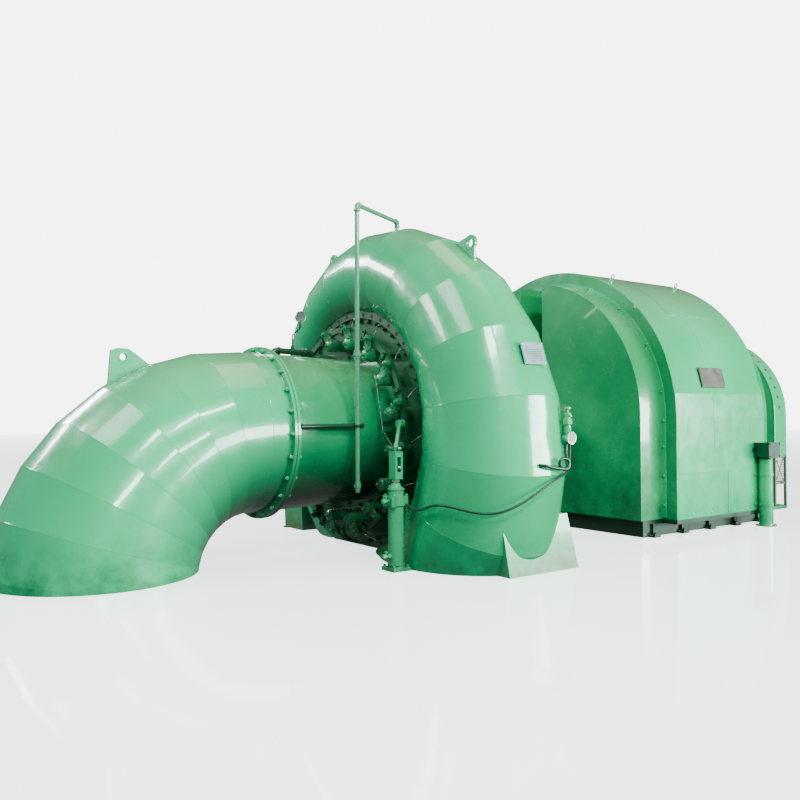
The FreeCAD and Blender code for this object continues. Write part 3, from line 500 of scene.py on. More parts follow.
# ------------------------------------------------------------------ servomotor
# An upright oil cylinder on the floor turns the operating ring. Its gland is clamped with
# four bolts, an oil cock stands out at its side, and the rod ends in a slotted fork.
SERVO_X, SERVO_Y = -1.000, -1.788
SERVO_R, FLOOR_STUD_CIRCLE = 0.086, 0.128
servo_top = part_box("servomotor_cylinder")[1][2]
servo_green = enamel("servomotor_enamel", (0.030, 0.430, 0.185), (0.018, 0.330, 0.130), ENAMEL_GRIME,
                     0.35, 0.2)
paint_nodes(servo_green, "servomotor_cylinder", "servomotor_rod")
mesh = bmesh.new()
axis = at(SERVO_X, SERVO_Y, 0.0)
turned(mesh, axis + UP * (servo_top - 0.002), UP, [(0, 0.080), (0.010, 0.080), (0.016, 0.060), (0.050, 0.046),
                                                  (0.056, 0.034)], 28)
ring_band(mesh, axis + UP * (servo_top - 0.022), UP, SERVO_R - 0.004, SERVO_R + 0.010, 0.020, 32)
ring_band(mesh, axis + UP * 0.06, UP, SERVO_R - 0.004, SERVO_R + 0.012, 0.018, 32)
for number in range(4):
    turn = Matrix.Rotation(math.radians(45 + 90 * number), 3, "Z")
    spin = turn @ ALONG
    lug = axis + spin * (SERVO_R + 0.026) + UP * (servo_top - 0.140)
    block(mesh, lug, (0.046, 0.040, 0.110), 0.005, turn)
    bolt(mesh, lug + UP * 0.055, UP, 0.026)
    bolt(mesh, lug - UP * 0.055, -UP, 0.026)
    bolt(mesh, axis + spin * FLOOR_STUD_CIRCLE + UP * 0.040, UP, 0.030)
for height in (servo_top - 0.14, 0.16):
    port = axis + UP * height - ALONG * (SERVO_R - 0.004)
    turned(mesh, port, -ALONG, [(0, 0.026), (0.030, 0.026), (0.032, 0.018), (0.070, 0.018), (0.072, 0.027),
                                (0.100, 0.027), (0.104, 0.020)], 14)
    turned(mesh, port - ALONG * 0.054 - UP * 0.016, UP, [(0, 0.012), (0.060, 0.012), (0.062, 0.022),
                                                          (0.072, 0.022), (0.074, 0.010)], 12)
oil_pipe = [axis + Vector(place) for place in ((SERVO_R + 0.012, 0.0, servo_top - 0.16),
                                               (0.16, 0.02, servo_top - 0.19),
                                               (0.20, 0.10, 0.40), (0.22, 0.16, 0.02))]
swept(mesh, oil_pipe, 0.013, 10)
fit("servomotor_fittings", mesh, servo_green)
mesh = bmesh.new()
for lift in (0.125, 0.330):
    start = axis + UP * (servo_top + 0.095 + lift) + NEAR * 0.061
    bolt(mesh, start, NEAR, 0.034)
    bolt(mesh, start - NEAR * 0.122, -NEAR, 0.034)
turned(mesh, axis + UP * servo_top, UP, [(0.050, 0.029), (0.092, 0.029)], 24)
turned(mesh, axis + UP * (servo_top + 0.062), UP, [(0, 0.046), (0.026, 0.046)], 6)
low_end = at(-0.640, -1.040, 1.490)
high_end = at(-0.640, -0.889, 2.140)
swept(mesh, [axis + UP * (servo_top + 0.36) + Vector((0.052, 0.04, 0.0)), low_end, high_end], 0.008, 8)
for end in (low_end, high_end):
    turned(mesh, end - ALONG * 0.014, ALONG, [(0, 0.018), (0.040, 0.018)], 12)
fit("servomotor_rod_hardware", mesh, bright_steel)

# ------------------------------------------------------------------ draft tube elbow and cone
# The elbow is rolled in mitred courses and butt-welded, and bolted to the draft cone
# through a pair of flanges with a thin black gasket between them.
BEND_X, BEND_R = -2.047, 1.655
ELBOW_START_R, ELBOW_FLOOR_R = 0.956, 1.105
ELBOW_COURSE = 12
FLANGE_BOLT_CIRCLE = 0.9925
FLANGE_LOW_X, FLANGE_MID_X, FLANGE_HIGH_X = -1.815, -1.777, -1.739
elbow = [name for name in nodes if name.startswith("draft_elbow_") and name[-1].isdigit()]
# the elbow's faces that look down get deep painted shade in oil black
elbow_green = enamel("draft_elbow_enamel", ENAMEL, ENAMEL_SHADE, ENAMEL_GRIME, 0.6, underside_shade=0.9)
paint_nodes(elbow_green, *elbow, "draft_elbow_flange", "draft_cone_flange")
# a darker copy of the enamel is painted shade on the cone; it goes to oil black towards the bottom and on its
# underside, also painted shade
cone_painted_shade_green = enamel("draft_cone_painted_shade_enamel", (0.004, 0.300, 0.115), (0.002, 0.225, 0.082), OIL_BLACK_AND_SHADE,
                    0.7, 0.18, 0.5, 0.4, 0.0, 0.98)
paint_nodes(cone_painted_shade_green, "draft_cone")


def elbow_skin(turned_by, round_section, out=0.0):
    # 0 round the section is the outside of the bend
    turn = math.radians(turned_by)
    across = math.radians(round_section)
    radius = ELBOW_START_R + (ELBOW_FLOOR_R - ELBOW_START_R) * turned_by / 90.0 + out
    outside = Vector((-math.sin(turn), 0.0, math.cos(turn)))
    centre = at(BEND_X, 0.0, shaft_z - BEND_R) + outside * BEND_R
    return centre + outside * radius * math.cos(across) + Vector((0.0, radius * math.sin(across), 0.0))


mesh = bmesh.new()
for seam in range(0, 73, ELBOW_COURSE):
    line = above_floor([elbow_skin(seam, 4 * k - 180, -BEAD_SINK) for k in range(91)])
    swept(mesh, line, BEAD_R, 6, 0.03)
for x, radius in ((FLANGE_LOW_X - 0.004, ELBOW_START_R + 0.002),
                  (FLANGE_HIGH_X + 0.004, ELBOW_START_R + 0.001)):
    swept(mesh, [round_shaft(radius, 4 * k, x) for k in range(91)], RING_BEAD_R, 6, 0.15, ALONG)
fit("draft_tube_weld_seams", mesh, green)

mesh = bmesh.new()
for number in range(24):
    degrees = 15.0 * number
    bolt(mesh, round_shaft(FLANGE_BOLT_CIRCLE, degrees, FLANGE_LOW_X), -ALONG, 0.040)
    bolt(mesh, round_shaft(FLANGE_BOLT_CIRCLE, degrees, FLANGE_HIGH_X), ALONG, 0.040)
for x, along in ((FLANGE_LOW_X + 0.003, -ALONG), (FLANGE_HIGH_X - 0.003, ALONG)):
    ring_band(mesh, at(x, 0.0, shaft_z), along, 1.010, 1.0275, 0.004, 96)
fit("draft_tube_flange_bolts", mesh, green)
gasket = mottled("black_gasket_rubber", (50.0, 3.0), (0.006, 0.010, 0.008), (0.020, 0.026, 0.022), 0.6)
mesh = bmesh.new()
ring_band(mesh, at(FLANGE_MID_X - 0.004, 0.0, shaft_z), ALONG, 1.000, 1.0315, 0.008, 96)
fit("draft_tube_gasket", mesh, gasket)
# a plate eye stands on the elbow's crown, welded along both sides of its foot
ELBOW_EYE = (-3.385, 0.0, 2.330)
EYE_FOOT_X, EYE_FOOT_LONG = -3.545, 0.640
mesh = bmesh.new()
for side in (-1, 1):
    ring_band(mesh, at(*ELBOW_EYE) + NEAR * side * 0.019, NEAR * side, 0.038, 0.058, 0.006)
for side in (-1, 1):
    line = []
    for k in range(25):
        x = EYE_FOOT_X + EYE_FOOT_LONG * k / 24
        crown = elbow_skin(math.degrees(math.atan2(-(x - BEND_X), BEND_R + 0.35)), 0.0)
        line.append(Vector((crown.x, shaft_y + 0.024 * side, crown.z)))
    swept(mesh, line, RING_BEAD_R, 6, 0.15)
fit("draft_elbow_lug_welds", mesh, lug_paint)

# ------------------------------------------------------------------ vent pipe
# A thin screwed pipe vents the case. It stands up beside the draft cone, crosses over to the
# crown through screwed elbows, and is stayed by a dark flat-ended bar from the flange.
VENT_R = 0.028
VENT_X, VENT_Y = -1.016, -1.059
VENT_TOP_Z, VENT_TAP_Z = 4.125, 4.296
VENT_TAP_X = 0.338
vent_foot_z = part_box("vent_pipe")[0][2]
pale_green = enamel("pale_pipe_enamel", (0.085, 0.300, 0.165), (0.060, 0.230, 0.125), ENAMEL_GRIME,
                    0.3, 0.25, 0.2)
foot = at(VENT_X, VENT_Y, vent_foot_z + 0.004)
corner = at(VENT_X, VENT_Y, VENT_TOP_Z)
over = at(VENT_TAP_X, 0.0, VENT_TAP_Z)
section, centre = case_section(90)
tap = at(VENT_TAP_X, 0.0, shaft_z + centre + math.sqrt((section - 0.03) ** 2 - VENT_TAP_X ** 2))


def pipe_elbow(mesh, before, knee, after, radius, bend):
    # a screwed elbow: a short bend between two beaded sockets
    into = (before - knee).normalized()
    away = (after - knee).normalized()
    start, end = knee + into * bend, knee + away * bend
    line = [start.lerp(knee, t).lerp(knee.lerp(end, t), t) for t in (k / 8 for k in range(9))]
    swept(mesh, line, radius * 1.22, 16)
    for socket, along in ((start, into), (end, away)):
        turned(mesh, socket - along * 0.006, along, [(0, radius * 1.22), (0.004, radius * 1.45),
                                                     (0.020, radius * 1.45), (0.024, radius * 1.2)], 18)


def union_nut(mesh, centre, along, radius):
    # a pipe union: a hexagon nut between two rounded collars
    for start, profile, sides in ((-0.050, ((0, 1.05), (0.004, 1.35), (0.034, 1.35), (0.036, 1.1)), 18),
                                  (-0.018, ((0, 1.75), (0.003, 1.85), (0.033, 1.85), (0.036, 1.75)), 6),
                                  (0.018, ((0, 1.1), (0.002, 1.35), (0.030, 1.35), (0.034, 1.05)), 18)):
        turned(mesh, centre + along * start, along,
               [(distance, radius * share) for distance, share in profile], sides)


mesh = bmesh.new()
swept(mesh, [foot, corner - UP * 0.05], VENT_R, 20)
swept(mesh, [corner.lerp(over, 0.04), over.lerp(corner, 0.04)], VENT_R, 20)
swept(mesh, [over - UP * 0.05, tap], VENT_R, 20)
pipe_elbow(mesh, foot, corner, over, VENT_R, 0.060)
pipe_elbow(mesh, corner, over, tap, VENT_R, 0.055)
union_nut(mesh, at(VENT_X, VENT_Y, 2.380), UP, VENT_R)
union_nut(mesh, at(VENT_X, VENT_Y, 0.860), UP, VENT_R * 0.9)
turned(mesh, tap + UP * 0.018, UP, [(0, 0.058), (0.014, 0.060), (0.034, 0.046), (0.056, 0.040)], 20)
vent = fit("vent_pipe_screwed", mesh, pale_green)
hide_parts("vent_pipe")
dark_green = enamel("dark_green_paint", (0.002, 0.036, 0.016), (0.001, 0.022, 0.009), (0.012, 0.022, 0.014),
                    0.3, 0.30, 0.05, 0.2)
mesh = bmesh.new()
BAR_Y, BAR_Z, BAR_R = VENT_Y + 0.055, 1.555, 0.0285
swept(mesh, [at(FLANGE_HIGH_X + 0.002, BAR_Y, BAR_Z), at(VENT_X + 0.115, BAR_Y, BAR_Z)], BAR_R, 16)
turned(mesh, at(FLANGE_HIGH_X, BAR_Y, BAR_Z), ALONG, [(0, 0.046), (0.010, 0.046), (0.016, 0.030)], 18)
ring_band(mesh, at(VENT_X, VENT_Y, BAR_Z - 0.015), UP, VENT_R, VENT_R + 0.012, 0.030, 24)
block(mesh, at(VENT_X, VENT_Y + 0.034, BAR_Z), (0.060, 0.020, 0.060), 0.004)
fit("vent_pipe_stay_bar", mesh, dark_green)

# ------------------------------------------------------------------ air pipe and pressure gauge
# A dark pipe with screwed bends comes up out of the draft cone and goes back into it. A thin
# stem on it carries a dial gauge with a brass movement behind glass.
paint_nodes(dark_green, "air_pipe")
AIR_X0, AIR_X1, AIR_Y = -1.407, -0.810, 0.300
AIR_COLLAR_Z, AIR_TOP_Z, AIR_STEM_Z = 2.400, 2.500, 2.530
CONE_LOSS, CONE_LONG = 0.056, 1.425
GAUGE_X, GAUGE_Y, GAUGE_Z = -1.116, 0.100, 2.920
GAUGE_R = 0.075
mesh = bmesh.new()
for x in (AIR_X0, AIR_X1):
    turned(mesh, at(x, AIR_Y, AIR_COLLAR_Z), UP, [(0, 0.052), (0.004, 0.058), (0.026, 0.058),
                                                  (0.030, 0.052)], 24)
    cone_r = ELBOW_START_R - CONE_LOSS * (x - FLANGE_HIGH_X) / CONE_LONG
    seat = shaft_z + math.sqrt(cone_r ** 2 - AIR_Y ** 2)
    turned(mesh, at(x, AIR_Y, seat - 0.030), UP, [(0, 0.085), (0.050, 0.085), (0.058, 0.060),
                                                  (0.072, 0.044)], 24)
for x in (AIR_X0 + 0.095, AIR_X1 - 0.095, -0.960):
    height = AIR_TOP_Z - 0.020 * (x - AIR_X0) / (AIR_X1 - AIR_X0)
    turned(mesh, at(x - 0.015, AIR_Y, height), ALONG, [(0, 0.048), (0.004, 0.054), (0.026, 0.054),
                                                       (0.030, 0.048)], 24)
turned(mesh, at(GAUGE_X, AIR_Y, AIR_STEM_Z), UP, [(0, 0.026), (0.030, 0.026), (0.032, 0.018),
                                                  (0.050, 0.018)], 6)
turned(mesh, at(GAUGE_X, GAUGE_Y, GAUGE_Z - GAUGE_R - 0.040), UP, [(0, 0.015), (0.026, 0.015),
                                                                   (0.030, 0.011), (0.045, 0.011)], 6)
fit("air_pipe_fittings", mesh, dark_green)

face_centre = at(GAUGE_X, GAUGE_Y - 0.0155, GAUGE_Z)
mesh = bmesh.new()
turned(mesh, at(GAUGE_X, GAUGE_Y + 0.024, GAUGE_Z), NEAR,
       [(0, 0.058), (0.004, 0.066), (0.036, 0.0690), (0.037, 0.0745), (0.046, 0.0745), (0.048, 0.0715),
        (0.0475, 0.0670), (0.0400, 0.0655), (0.0385, 0.0655), (0.0385, 0.0)], 40)
case_of_gauge = fit("pressure_gauge_case", mesh, bright_steel)
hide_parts("pressure_gauge")
dial_white = mottled("dial_white_enamel", (80.0, 3.0), (0.17, 0.19, 0.18), (0.25, 0.27, 0.26), 0.35)
mesh = bmesh.new()
turned(mesh, face_centre + NEAR * 0.0002, NEAR, [(0, 0.0650), (0.0012, 0.0650)], 40)
fit("pressure_gauge_dial", mesh, dial_white)
DIAL_START, DIAL_SWEEP, DIAL_STEPS = 225.0, 270.0, 50


def dial_hand(share):
    # which way a hand points at that share of the dial, and the turn that lays a bar along it
    turn = math.radians(DIAL_START - DIAL_SWEEP * share)
    return Vector((math.cos(turn), 0.0, math.sin(turn))), Matrix.Rotation(-turn, 3, "Y")


mesh = bmesh.new()
for step in range(DIAL_STEPS + 1):
    ray, lean = dial_hand(step / DIAL_STEPS)
    length = 0.010 if step % 5 == 0 else 0.0055
    mark = face_centre + NEAR * 0.0018 + ray * (0.060 - length / 2)
    block(mesh, mark, (length, 0.0006, 0.0011), 0.0001, lean)
ray, lean = dial_hand(0.36)
block(mesh, face_centre + NEAR * 0.0032 + ray * 0.018, (0.066, 0.0008, 0.0026), 0.0002, lean)
turned(mesh, face_centre + NEAR * 0.0015, NEAR, [(0, 0.006), (0.0030, 0.006), (0.0036, 0.004)], 16)
fit("pressure_gauge_scale", mesh, gasket)
for number in range(6):
    ray, lean = dial_hand(number / 5)
    figure = bpy.data.curves.new("pressure_gauge_figure_%d" % (2 * number), "FONT")
    figure.body = str(2 * number)
    figure.size = 0.015
    figure.align_x = "CENTER"
    figure.align_y = "CENTER"
    figure.extrude = 0.0002
    figure.materials.append(gasket)
    piece = bpy.data.objects.new(figure.name, figure)
    piece.matrix_world = (Matrix.Translation(face_centre + NEAR * 0.0018 + ray * 0.041)
                          @ Matrix.Rotation(math.radians(90), 4, "X"))
    carry(piece)
glass, tree, skin, where = new_material("gauge_glass")
tree.links.new(ramp(tree, cloudy(tree, where, 20.0, 2.0), 0.3, 0.7, 0.02, 0.05), skin.inputs["Roughness"])
skin.inputs["Base Color"].default_value = (0.95, 0.98, 0.97, 1.0)
skin.inputs["Transmission Weight"].default_value = 1.0
skin.inputs["IOR"].default_value = 1.15
mesh = bmesh.new()
turned(mesh, face_centre + NEAR * 0.0052, NEAR, [(0, 0.0652), (0.0014, 0.0652)], 40)
fit("pressure_gauge_glass", mesh, glass)

# ------------------------------------------------------------------ case nameplate
# A blank anodised plate stands off the case on four studs. Its raised border and faint ruled
# lines are rolled in, and it carries no lettering.
PLATE_LONG, PLATE_THICK, PLATE_TALL = 0.330, 0.006, 0.250
PLATE_X, PLATE_LEAN = -0.100, 17.0
plate_metal = mottled("anodised_plate", (9.0, 5.0, 0.7), (0.30, 0.42, 0.47), (0.46, 0.56, 0.60), (0.28, 0.42),
                      0.55)
paint_nodes(plate_metal, "nameplate")
section, centre = case_section(PLATE_LEAN)
lean = Matrix.Rotation(-math.radians(PLATE_LEAN), 3, "X")
face = at(PLATE_X + PLATE_LONG / 2, 0.0, shaft_z) + lean @ NEAR * (centre + section + PLATE_THICK)
mesh = bmesh.new()
for side in (-1, 1):
    block(mesh, face + lean @ Vector((0.0, -0.001, side * (PLATE_TALL / 2 - 0.008))),
          (PLATE_LONG - 0.008, 0.003, 0.006), 0.001, lean)
    block(mesh, face + lean @ Vector((side * (PLATE_LONG / 2 - 0.008), -0.001, 0.0)),
          (0.006, 0.003, PLATE_TALL - 0.022), 0.001, lean)
for side in (-1, 1):
    for lift in (-1, 1):
        turned(mesh, face + lean @ Vector((side * 0.140, 0.0, lift * 0.100)), lean @ NEAR,
               [(0, 0.010), (0.003, 0.009), (0.005, 0.005)], 14)
fit("nameplate_border", mesh, bright_steel)
mesh = bmesh.new()
for row in range(9):
    line_at = face + lean @ Vector((0.0, -0.0004, 0.080 - 0.0205 * row))
    block(mesh, line_at, (0.235 if row else 0.10, 0.0014, 0.0030), 0.0004, lean)
fit("nameplate_ruled_lines", mesh, gasket)

# ------------------------------------------------------------------ siphon pipe and tapping valve
# A dark steel siphon pipe with one full loop leads from the case to the round transmitter.
# The tapping valve over it is a green-painted needle valve with a hexagon collar.
paint_nodes(dark_green, "siphon_pipe")
valve_low, valve_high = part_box("tap_valve")
mesh = bmesh.new()
base = Vector(((valve_low[0] + valve_high[0]) / 2, (valve_low[1] + valve_high[1]) / 2, valve_low[2]))
tall = valve_high[2] - valve_low[2]
for height, profile, sides in (
        (-0.004, [(0, 0.036), (0.008, 0.040), (0.070, 0.040), (0.076, 0.032), (0.098, 0.032)], 22),
        (0.098, [(0, 0.052), (0.004, 0.0555), (0.058, 0.0555), (0.062, 0.052)], 6),
        (0.158, [(0, 0.034), (0.040, 0.034), (0.046, 0.039), (0.060, 0.039), (0.066, 0.026)], 22),
        (0.222, [(0, 0.012), (0.038, 0.012)], 14),
        (tall - 0.030, [(0, 0.030), (0.006, 0.036), (0.020, 0.036), (0.028, 0.028)], 12)):
    turned(mesh, base + UP * height, UP, profile, sides)
turned(mesh, base + UP * 0.190 + NEAR * 0.028, NEAR, [(0, 0.015), (0.020, 0.015), (0.022, 0.009),
                                                      (0.027, 0.009)], 6)
valve = fit("tap_valve_body", mesh, servo_green)
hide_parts("tap_valve")

# ------------------------------------------------------------------ round transmitter
# A spun steel housing with a glazed dial on its near face, held by its process thread. The
# signal cable comes out of a tapered gland below it.
meter_back = at(0.515, -2.862, 1.428)
mesh = bmesh.new()
turned(mesh, meter_back, NEAR, [(0, 0.052), (0.004, 0.058), (0.012, 0.0665), (0.060, 0.0665),
                                (0.062, 0.0700), (0.084, 0.0700), (0.0895, 0.0660), (0.0890, 0.0610),
                                (0.0820, 0.0600), (0.0820, 0.0)], 40)
turned(mesh, meter_back + NEAR * 0.040 + ALONG * 0.060, ALONG,
       [(0, 0.020), (0.018, 0.020), (0.022, 0.015)], 6)
meter = fit("round_gauge_housing", mesh, bright_steel)
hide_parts("round_gauge")
mesh = bmesh.new()
turned(mesh, meter_back + NEAR * 0.0822, NEAR, [(0, 0.0590), (0.0010, 0.0590)], 40)
fit("round_gauge_dial", mesh, dial_white)
mesh = bmesh.new()
for step in range(25):
    ray, lean = dial_hand(step / 24)
    block(mesh, meter_back + NEAR * 0.0836 + ray * 0.050, (0.008, 0.0006, 0.0012), 0.0001, lean)
ray, lean = dial_hand((DIAL_START - math.degrees(2.2)) / DIAL_SWEEP)
block(mesh, meter_back + NEAR * 0.0848 + ray * 0.015, (0.056, 0.0006, 0.0024), 0.0002, lean)
turned(mesh, meter_back + NEAR * 0.0834, NEAR, [(0, 0.005), (0.0028, 0.005)], 14)
fit("round_gauge_scale", mesh, gasket)
mesh = bmesh.new()
turned(mesh, meter_back + NEAR * 0.0865, NEAR, [(0, 0.0598), (0.0012, 0.0598)], 40)
fit("round_gauge_glass", mesh, glass)
gland_top = at(0.550, -2.885, 1.372)
mesh = bmesh.new()
turned(mesh, gland_top + UP * 0.010, -UP, [(0, 0.019), (0.014, 0.019), (0.015, 0.0155), (0.022, 0.0155),
                                           (0.037, 0.0130)], 6)
fit("round_gauge_gland", mesh, gasket)

# ------------------------------------------------------------------ signal cable
# One rubber-sheathed cable hangs from the transmitter's gland, sags round the case's near
# side and rises into the servomotor. Its length is that of the run itself.
CABLE_ROUTE = [(0.550, -2.885, 1.345), (0.548, -2.890, 1.215), (0.470, -2.940, 1.085),
               (0.300, -3.035, 1.045), (0.090, -3.090, 1.000), (-0.110, -3.085, 0.905),
               (-0.300, -3.025, 0.785), (-0.470, -2.930, 0.700), (-0.620, -2.810, 0.672),
               (-0.745, -2.660, 0.700), (-0.840, -2.485, 0.742), (-0.885, -2.290, 0.745),
               (-0.900, -2.100, 0.668), (-0.915, -1.965, 0.672), (-0.932, -1.864, 0.722)]
CABLE_DIAMETER = 0.024
rubber = mottled("cable_rubber", (18.0, 4.0), (0.004, 0.018, 0.011), (0.012, 0.034, 0.022), (0.38, 0.58))
tree = rubber.node_tree
weave = cloudy(tree, tree.nodes["Texture Coordinate"], 220.0, 2.0)
bump(tree, tree.nodes["Principled BSDF"], weave, 0.25, 0.0006)
line = bpy.data.curves.new("signal_cable_sheath", "CURVE")
line.dimensions = "3D"
spline = line.splines.new("NURBS")
spline.points.add(len(CABLE_ROUTE) - 1)
for point, place in zip(spline.points, CABLE_ROUTE):
    point.co = (*at(*place), 1.0)
spline.order_u = 3
spline.use_endpoint_u = True
line.resolution_u = 12
line.bevel_depth = CABLE_DIAMETER / 2
line.bevel_resolution = 4
line.materials.append(rubber)
cable = bpy.data.objects.new("signal_cable_sheath", line)
bpy.context.collection.objects.link(cable)
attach(cable, "root")
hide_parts("signal_cable")

# ------------------------------------------------------------------ shaft, runner and bearings
# The forged shaft has a bolted coupling and turns in two pedestal bearings with split caps.
# The runner and the generator's core are dark inside their covers.
machine_dark = enamel("dark_machine_paint", (0.030, 0.045, 0.038), (0.016, 0.026, 0.022), OIL_BLACK_AND_SHADE,
                      0.4, 0.35, 0.3, 0.2)
paint_nodes(machine_dark, "runner", "generator_core", "flywheel")
bearing_green = enamel("bearing_enamel", (0.014, 0.300, 0.115), (0.008, 0.220, 0.080), OIL_BLACK_AND_SHADE,
                       0.7, 0.22, 0.4)
paint_nodes(bearing_green, "guide_bearing", "rear_bearing")
COUPLING_CIRCLE, COUPLING_X0, COUPLING_X1 = 0.325, 2.420, 2.640
mesh = bmesh.new()
for number in range(12):
    bolt(mesh, round_shaft(COUPLING_CIRCLE, 30.0 * number, COUPLING_X0), -ALONG, 0.060)
    bolt(mesh, round_shaft(COUPLING_CIRCLE, 30.0 * number, COUPLING_X1), ALONG, 0.060)
fit("shaft_coupling_bolts", mesh, bright_steel)
mesh = bmesh.new()
FOOT_HALF = 0.620
for x0, length, radius in ((1.480, 0.640, 0.430), (6.560, 0.420, 0.330)):
    for side in (-1, 1):
        lip = at(x0 + length / 2, side * (radius + 0.022), shaft_z + 0.004)
        block(mesh, lip, (length - 0.060, 0.110, 0.070), 0.006)
        for share in (0.18, 0.5, 0.82):
            bolt(mesh, at(x0 + share * length, side * (radius + 0.034), shaft_z + 0.039), UP, 0.046)
        for x in (x0 + 0.060, x0 + length - 0.060):
            bolt(mesh, at(x, side * (FOOT_HALF + 0.060), 0.060), UP, 0.055)
    for x, along in ((x0, -ALONG), (x0 + length, ALONG)):
        ring_band(mesh, at(x, 0.0, shaft_z), along, 0.178, radius * 0.80, 0.022, 48)
        for number in range(8):
            seat = round_shaft(radius * 0.66, 22.5 + 45 * number, x)
            bolt(mesh, seat + along * 0.022, along, 0.026)
    cap = at(x0 + length / 2, 0.0, shaft_z + radius - 0.004)
    turned(mesh, cap, UP, [(0, 0.090), (0.022, 0.090), (0.024, 0.062), (0.060, 0.062), (0.068, 0.050),
                           (0.072, 0.0)], 28)
    for side in (-1, 1):
        turned(mesh, cap + ALONG * side * length * 0.34, UP, [(0, 0.022), (0.050, 0.022), (0.054, 0.040),
                                                              (0.110, 0.040), (0.122, 0.020)], 18)
fit("bearing_caps_and_bolts", mesh, bearing_green)

# ------------------------------------------------------------------ generator cover
# The cover is folded and rolled from painted sheet. Two flat facets lie between the straight
# wall and the rolled crown, and its sheets meet at thin dark joints.
GEN_X0, GEN_X1, GEN_HALF, ARCH_Z, SHEET = 3.376, 5.544, 2.255, 1.622, 0.014
FOLDS = (0.0, 8.4, 22.9)
CROWN_STEPS = 44
# the cover's crown takes a strong warm dust with painted sheen
cover_green = enamel("generator_cover_enamel", ENAMEL, ENAMEL_SHADE, ENAMEL_GRIME, 0.6, 0.14, 0.85, 0.65)
# a darker copy of the enamel, going darker still towards the bottom, is painted shade on the end walls and
# end covers
end_cover_painted_shade = enamel("end_cover_painted_shade_enamel", (0.012, 0.290, 0.105), (0.006, 0.205, 0.070), (0.002, 0.050, 0.016),
                     2.2, 0.16, 0.4, 0.5)
paint_nodes(cover_green, "generator_wall_near", "generator_wall_far")
paint_nodes(end_cover_painted_shade, "generator_end_walls", *[name for name in nodes if name.startswith("end_cover")])


def arch(radius, degrees, x):
    # 0 degrees is where the near wall ends, 90 is the crown
    turn = math.radians(degrees)
    return at(x, -radius * math.cos(turn), ARCH_Z + radius * math.sin(turn))


def roof_point(degrees, x, out=0.0):
    return arch(GEN_HALF + out, degrees, x)


near_side = list(FOLDS) + [FOLDS[-1] + (90 - FOLDS[-1]) * k / CROWN_STEPS for k in range(1, CROWN_STEPS)]
outline = near_side + [90.0] + [180 - degrees for degrees in reversed(near_side)]
mesh = bmesh.new()
rings = []
for x, out in ((GEN_X0, -0.002), (GEN_X0 + 0.002, 0.0), (GEN_X1 - 0.002, 0.0), (GEN_X1, -0.002),
               (GEN_X1, -SHEET), (GEN_X0, -SHEET)):
    rings.append([mesh.verts.new(roof_point(degrees, x, out)) for degrees in outline])
for low, high in zip(rings, rings[1:] + rings[:1]):
    for k in range(len(outline) - 1):
        mesh.faces.new((low[k], low[k + 1], high[k + 1], high[k]))
mesh.faces.new([ring[0] for ring in rings])
mesh.faces.new([ring[-1] for ring in rings])
roof = fit("generator_roof_sheet", mesh, cover_green, 6)
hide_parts("generator_roof")

seam_shadow = enamel("paint_line_shadow", (0.018, 0.170, 0.075), (0.012, 0.120, 0.050), ENAMEL_GRIME,
                     0.4, 0.35, 0.0, 0.1)
mesh = bmesh.new()
wall_y = -GEN_HALF - 0.0005


def seam_line(mesh, start, end, wide=0.007):
    # the dark gap left between two sheets
    run = end - start
    turn = ALONG.rotation_difference(run.normalized()).to_matrix()
    block(mesh, (start + end) / 2, (run.length, wide, wide), 0.001, turn)


WALL_JOINT_X, WALL_JOINT_Z, FACET_JOINT_X = 4.590, 0.850, 4.250
HATCH_X0, HATCH_X1, HATCH_DEGREES = 3.990, 4.955, 41.4
seam_line(mesh, at(WALL_JOINT_X, wall_y, 0.245), at(WALL_JOINT_X, wall_y, WALL_JOINT_Z))
seam_line(mesh, at(GEN_X0 + 0.010, wall_y, WALL_JOINT_Z), at(WALL_JOINT_X + 0.130, wall_y, WALL_JOINT_Z))
seam_line(mesh, at(FACET_JOINT_X, wall_y, 1.180), at(FACET_JOINT_X, wall_y, 1.615), 0.005)
facet_foot, facet_top = [roof_point(degrees, FACET_JOINT_X, -0.001) for degrees in FOLDS[:2]]
seam_line(mesh, facet_foot, facet_top, 0.005)
seam_line(mesh, roof_point(FOLDS[2], HATCH_X0), roof_point(FOLDS[2], HATCH_X0 + 0.010), 0.004)
arc = [roof_point(HATCH_DEGREES + (180 - 2 * HATCH_DEGREES) * k / 40, HATCH_X0, -0.001) for k in range(41)]
swept(mesh, arc, 0.0045, 6, 0.0, ALONG)
for degrees in (HATCH_DEGREES, 180 - HATCH_DEGREES):
    seam_line(mesh, roof_point(degrees, HATCH_X0, -0.001), roof_point(degrees, HATCH_X1, -0.001))
arc = [roof_point(FOLDS[2] + (HATCH_DEGREES - FOLDS[2]) * k / 8, 4.300, -0.001) for k in range(9)]
swept(mesh, arc, 0.0030, 6, 0.0, ALONG)
fit("generator_sheet_joints", mesh, seam_shadow)

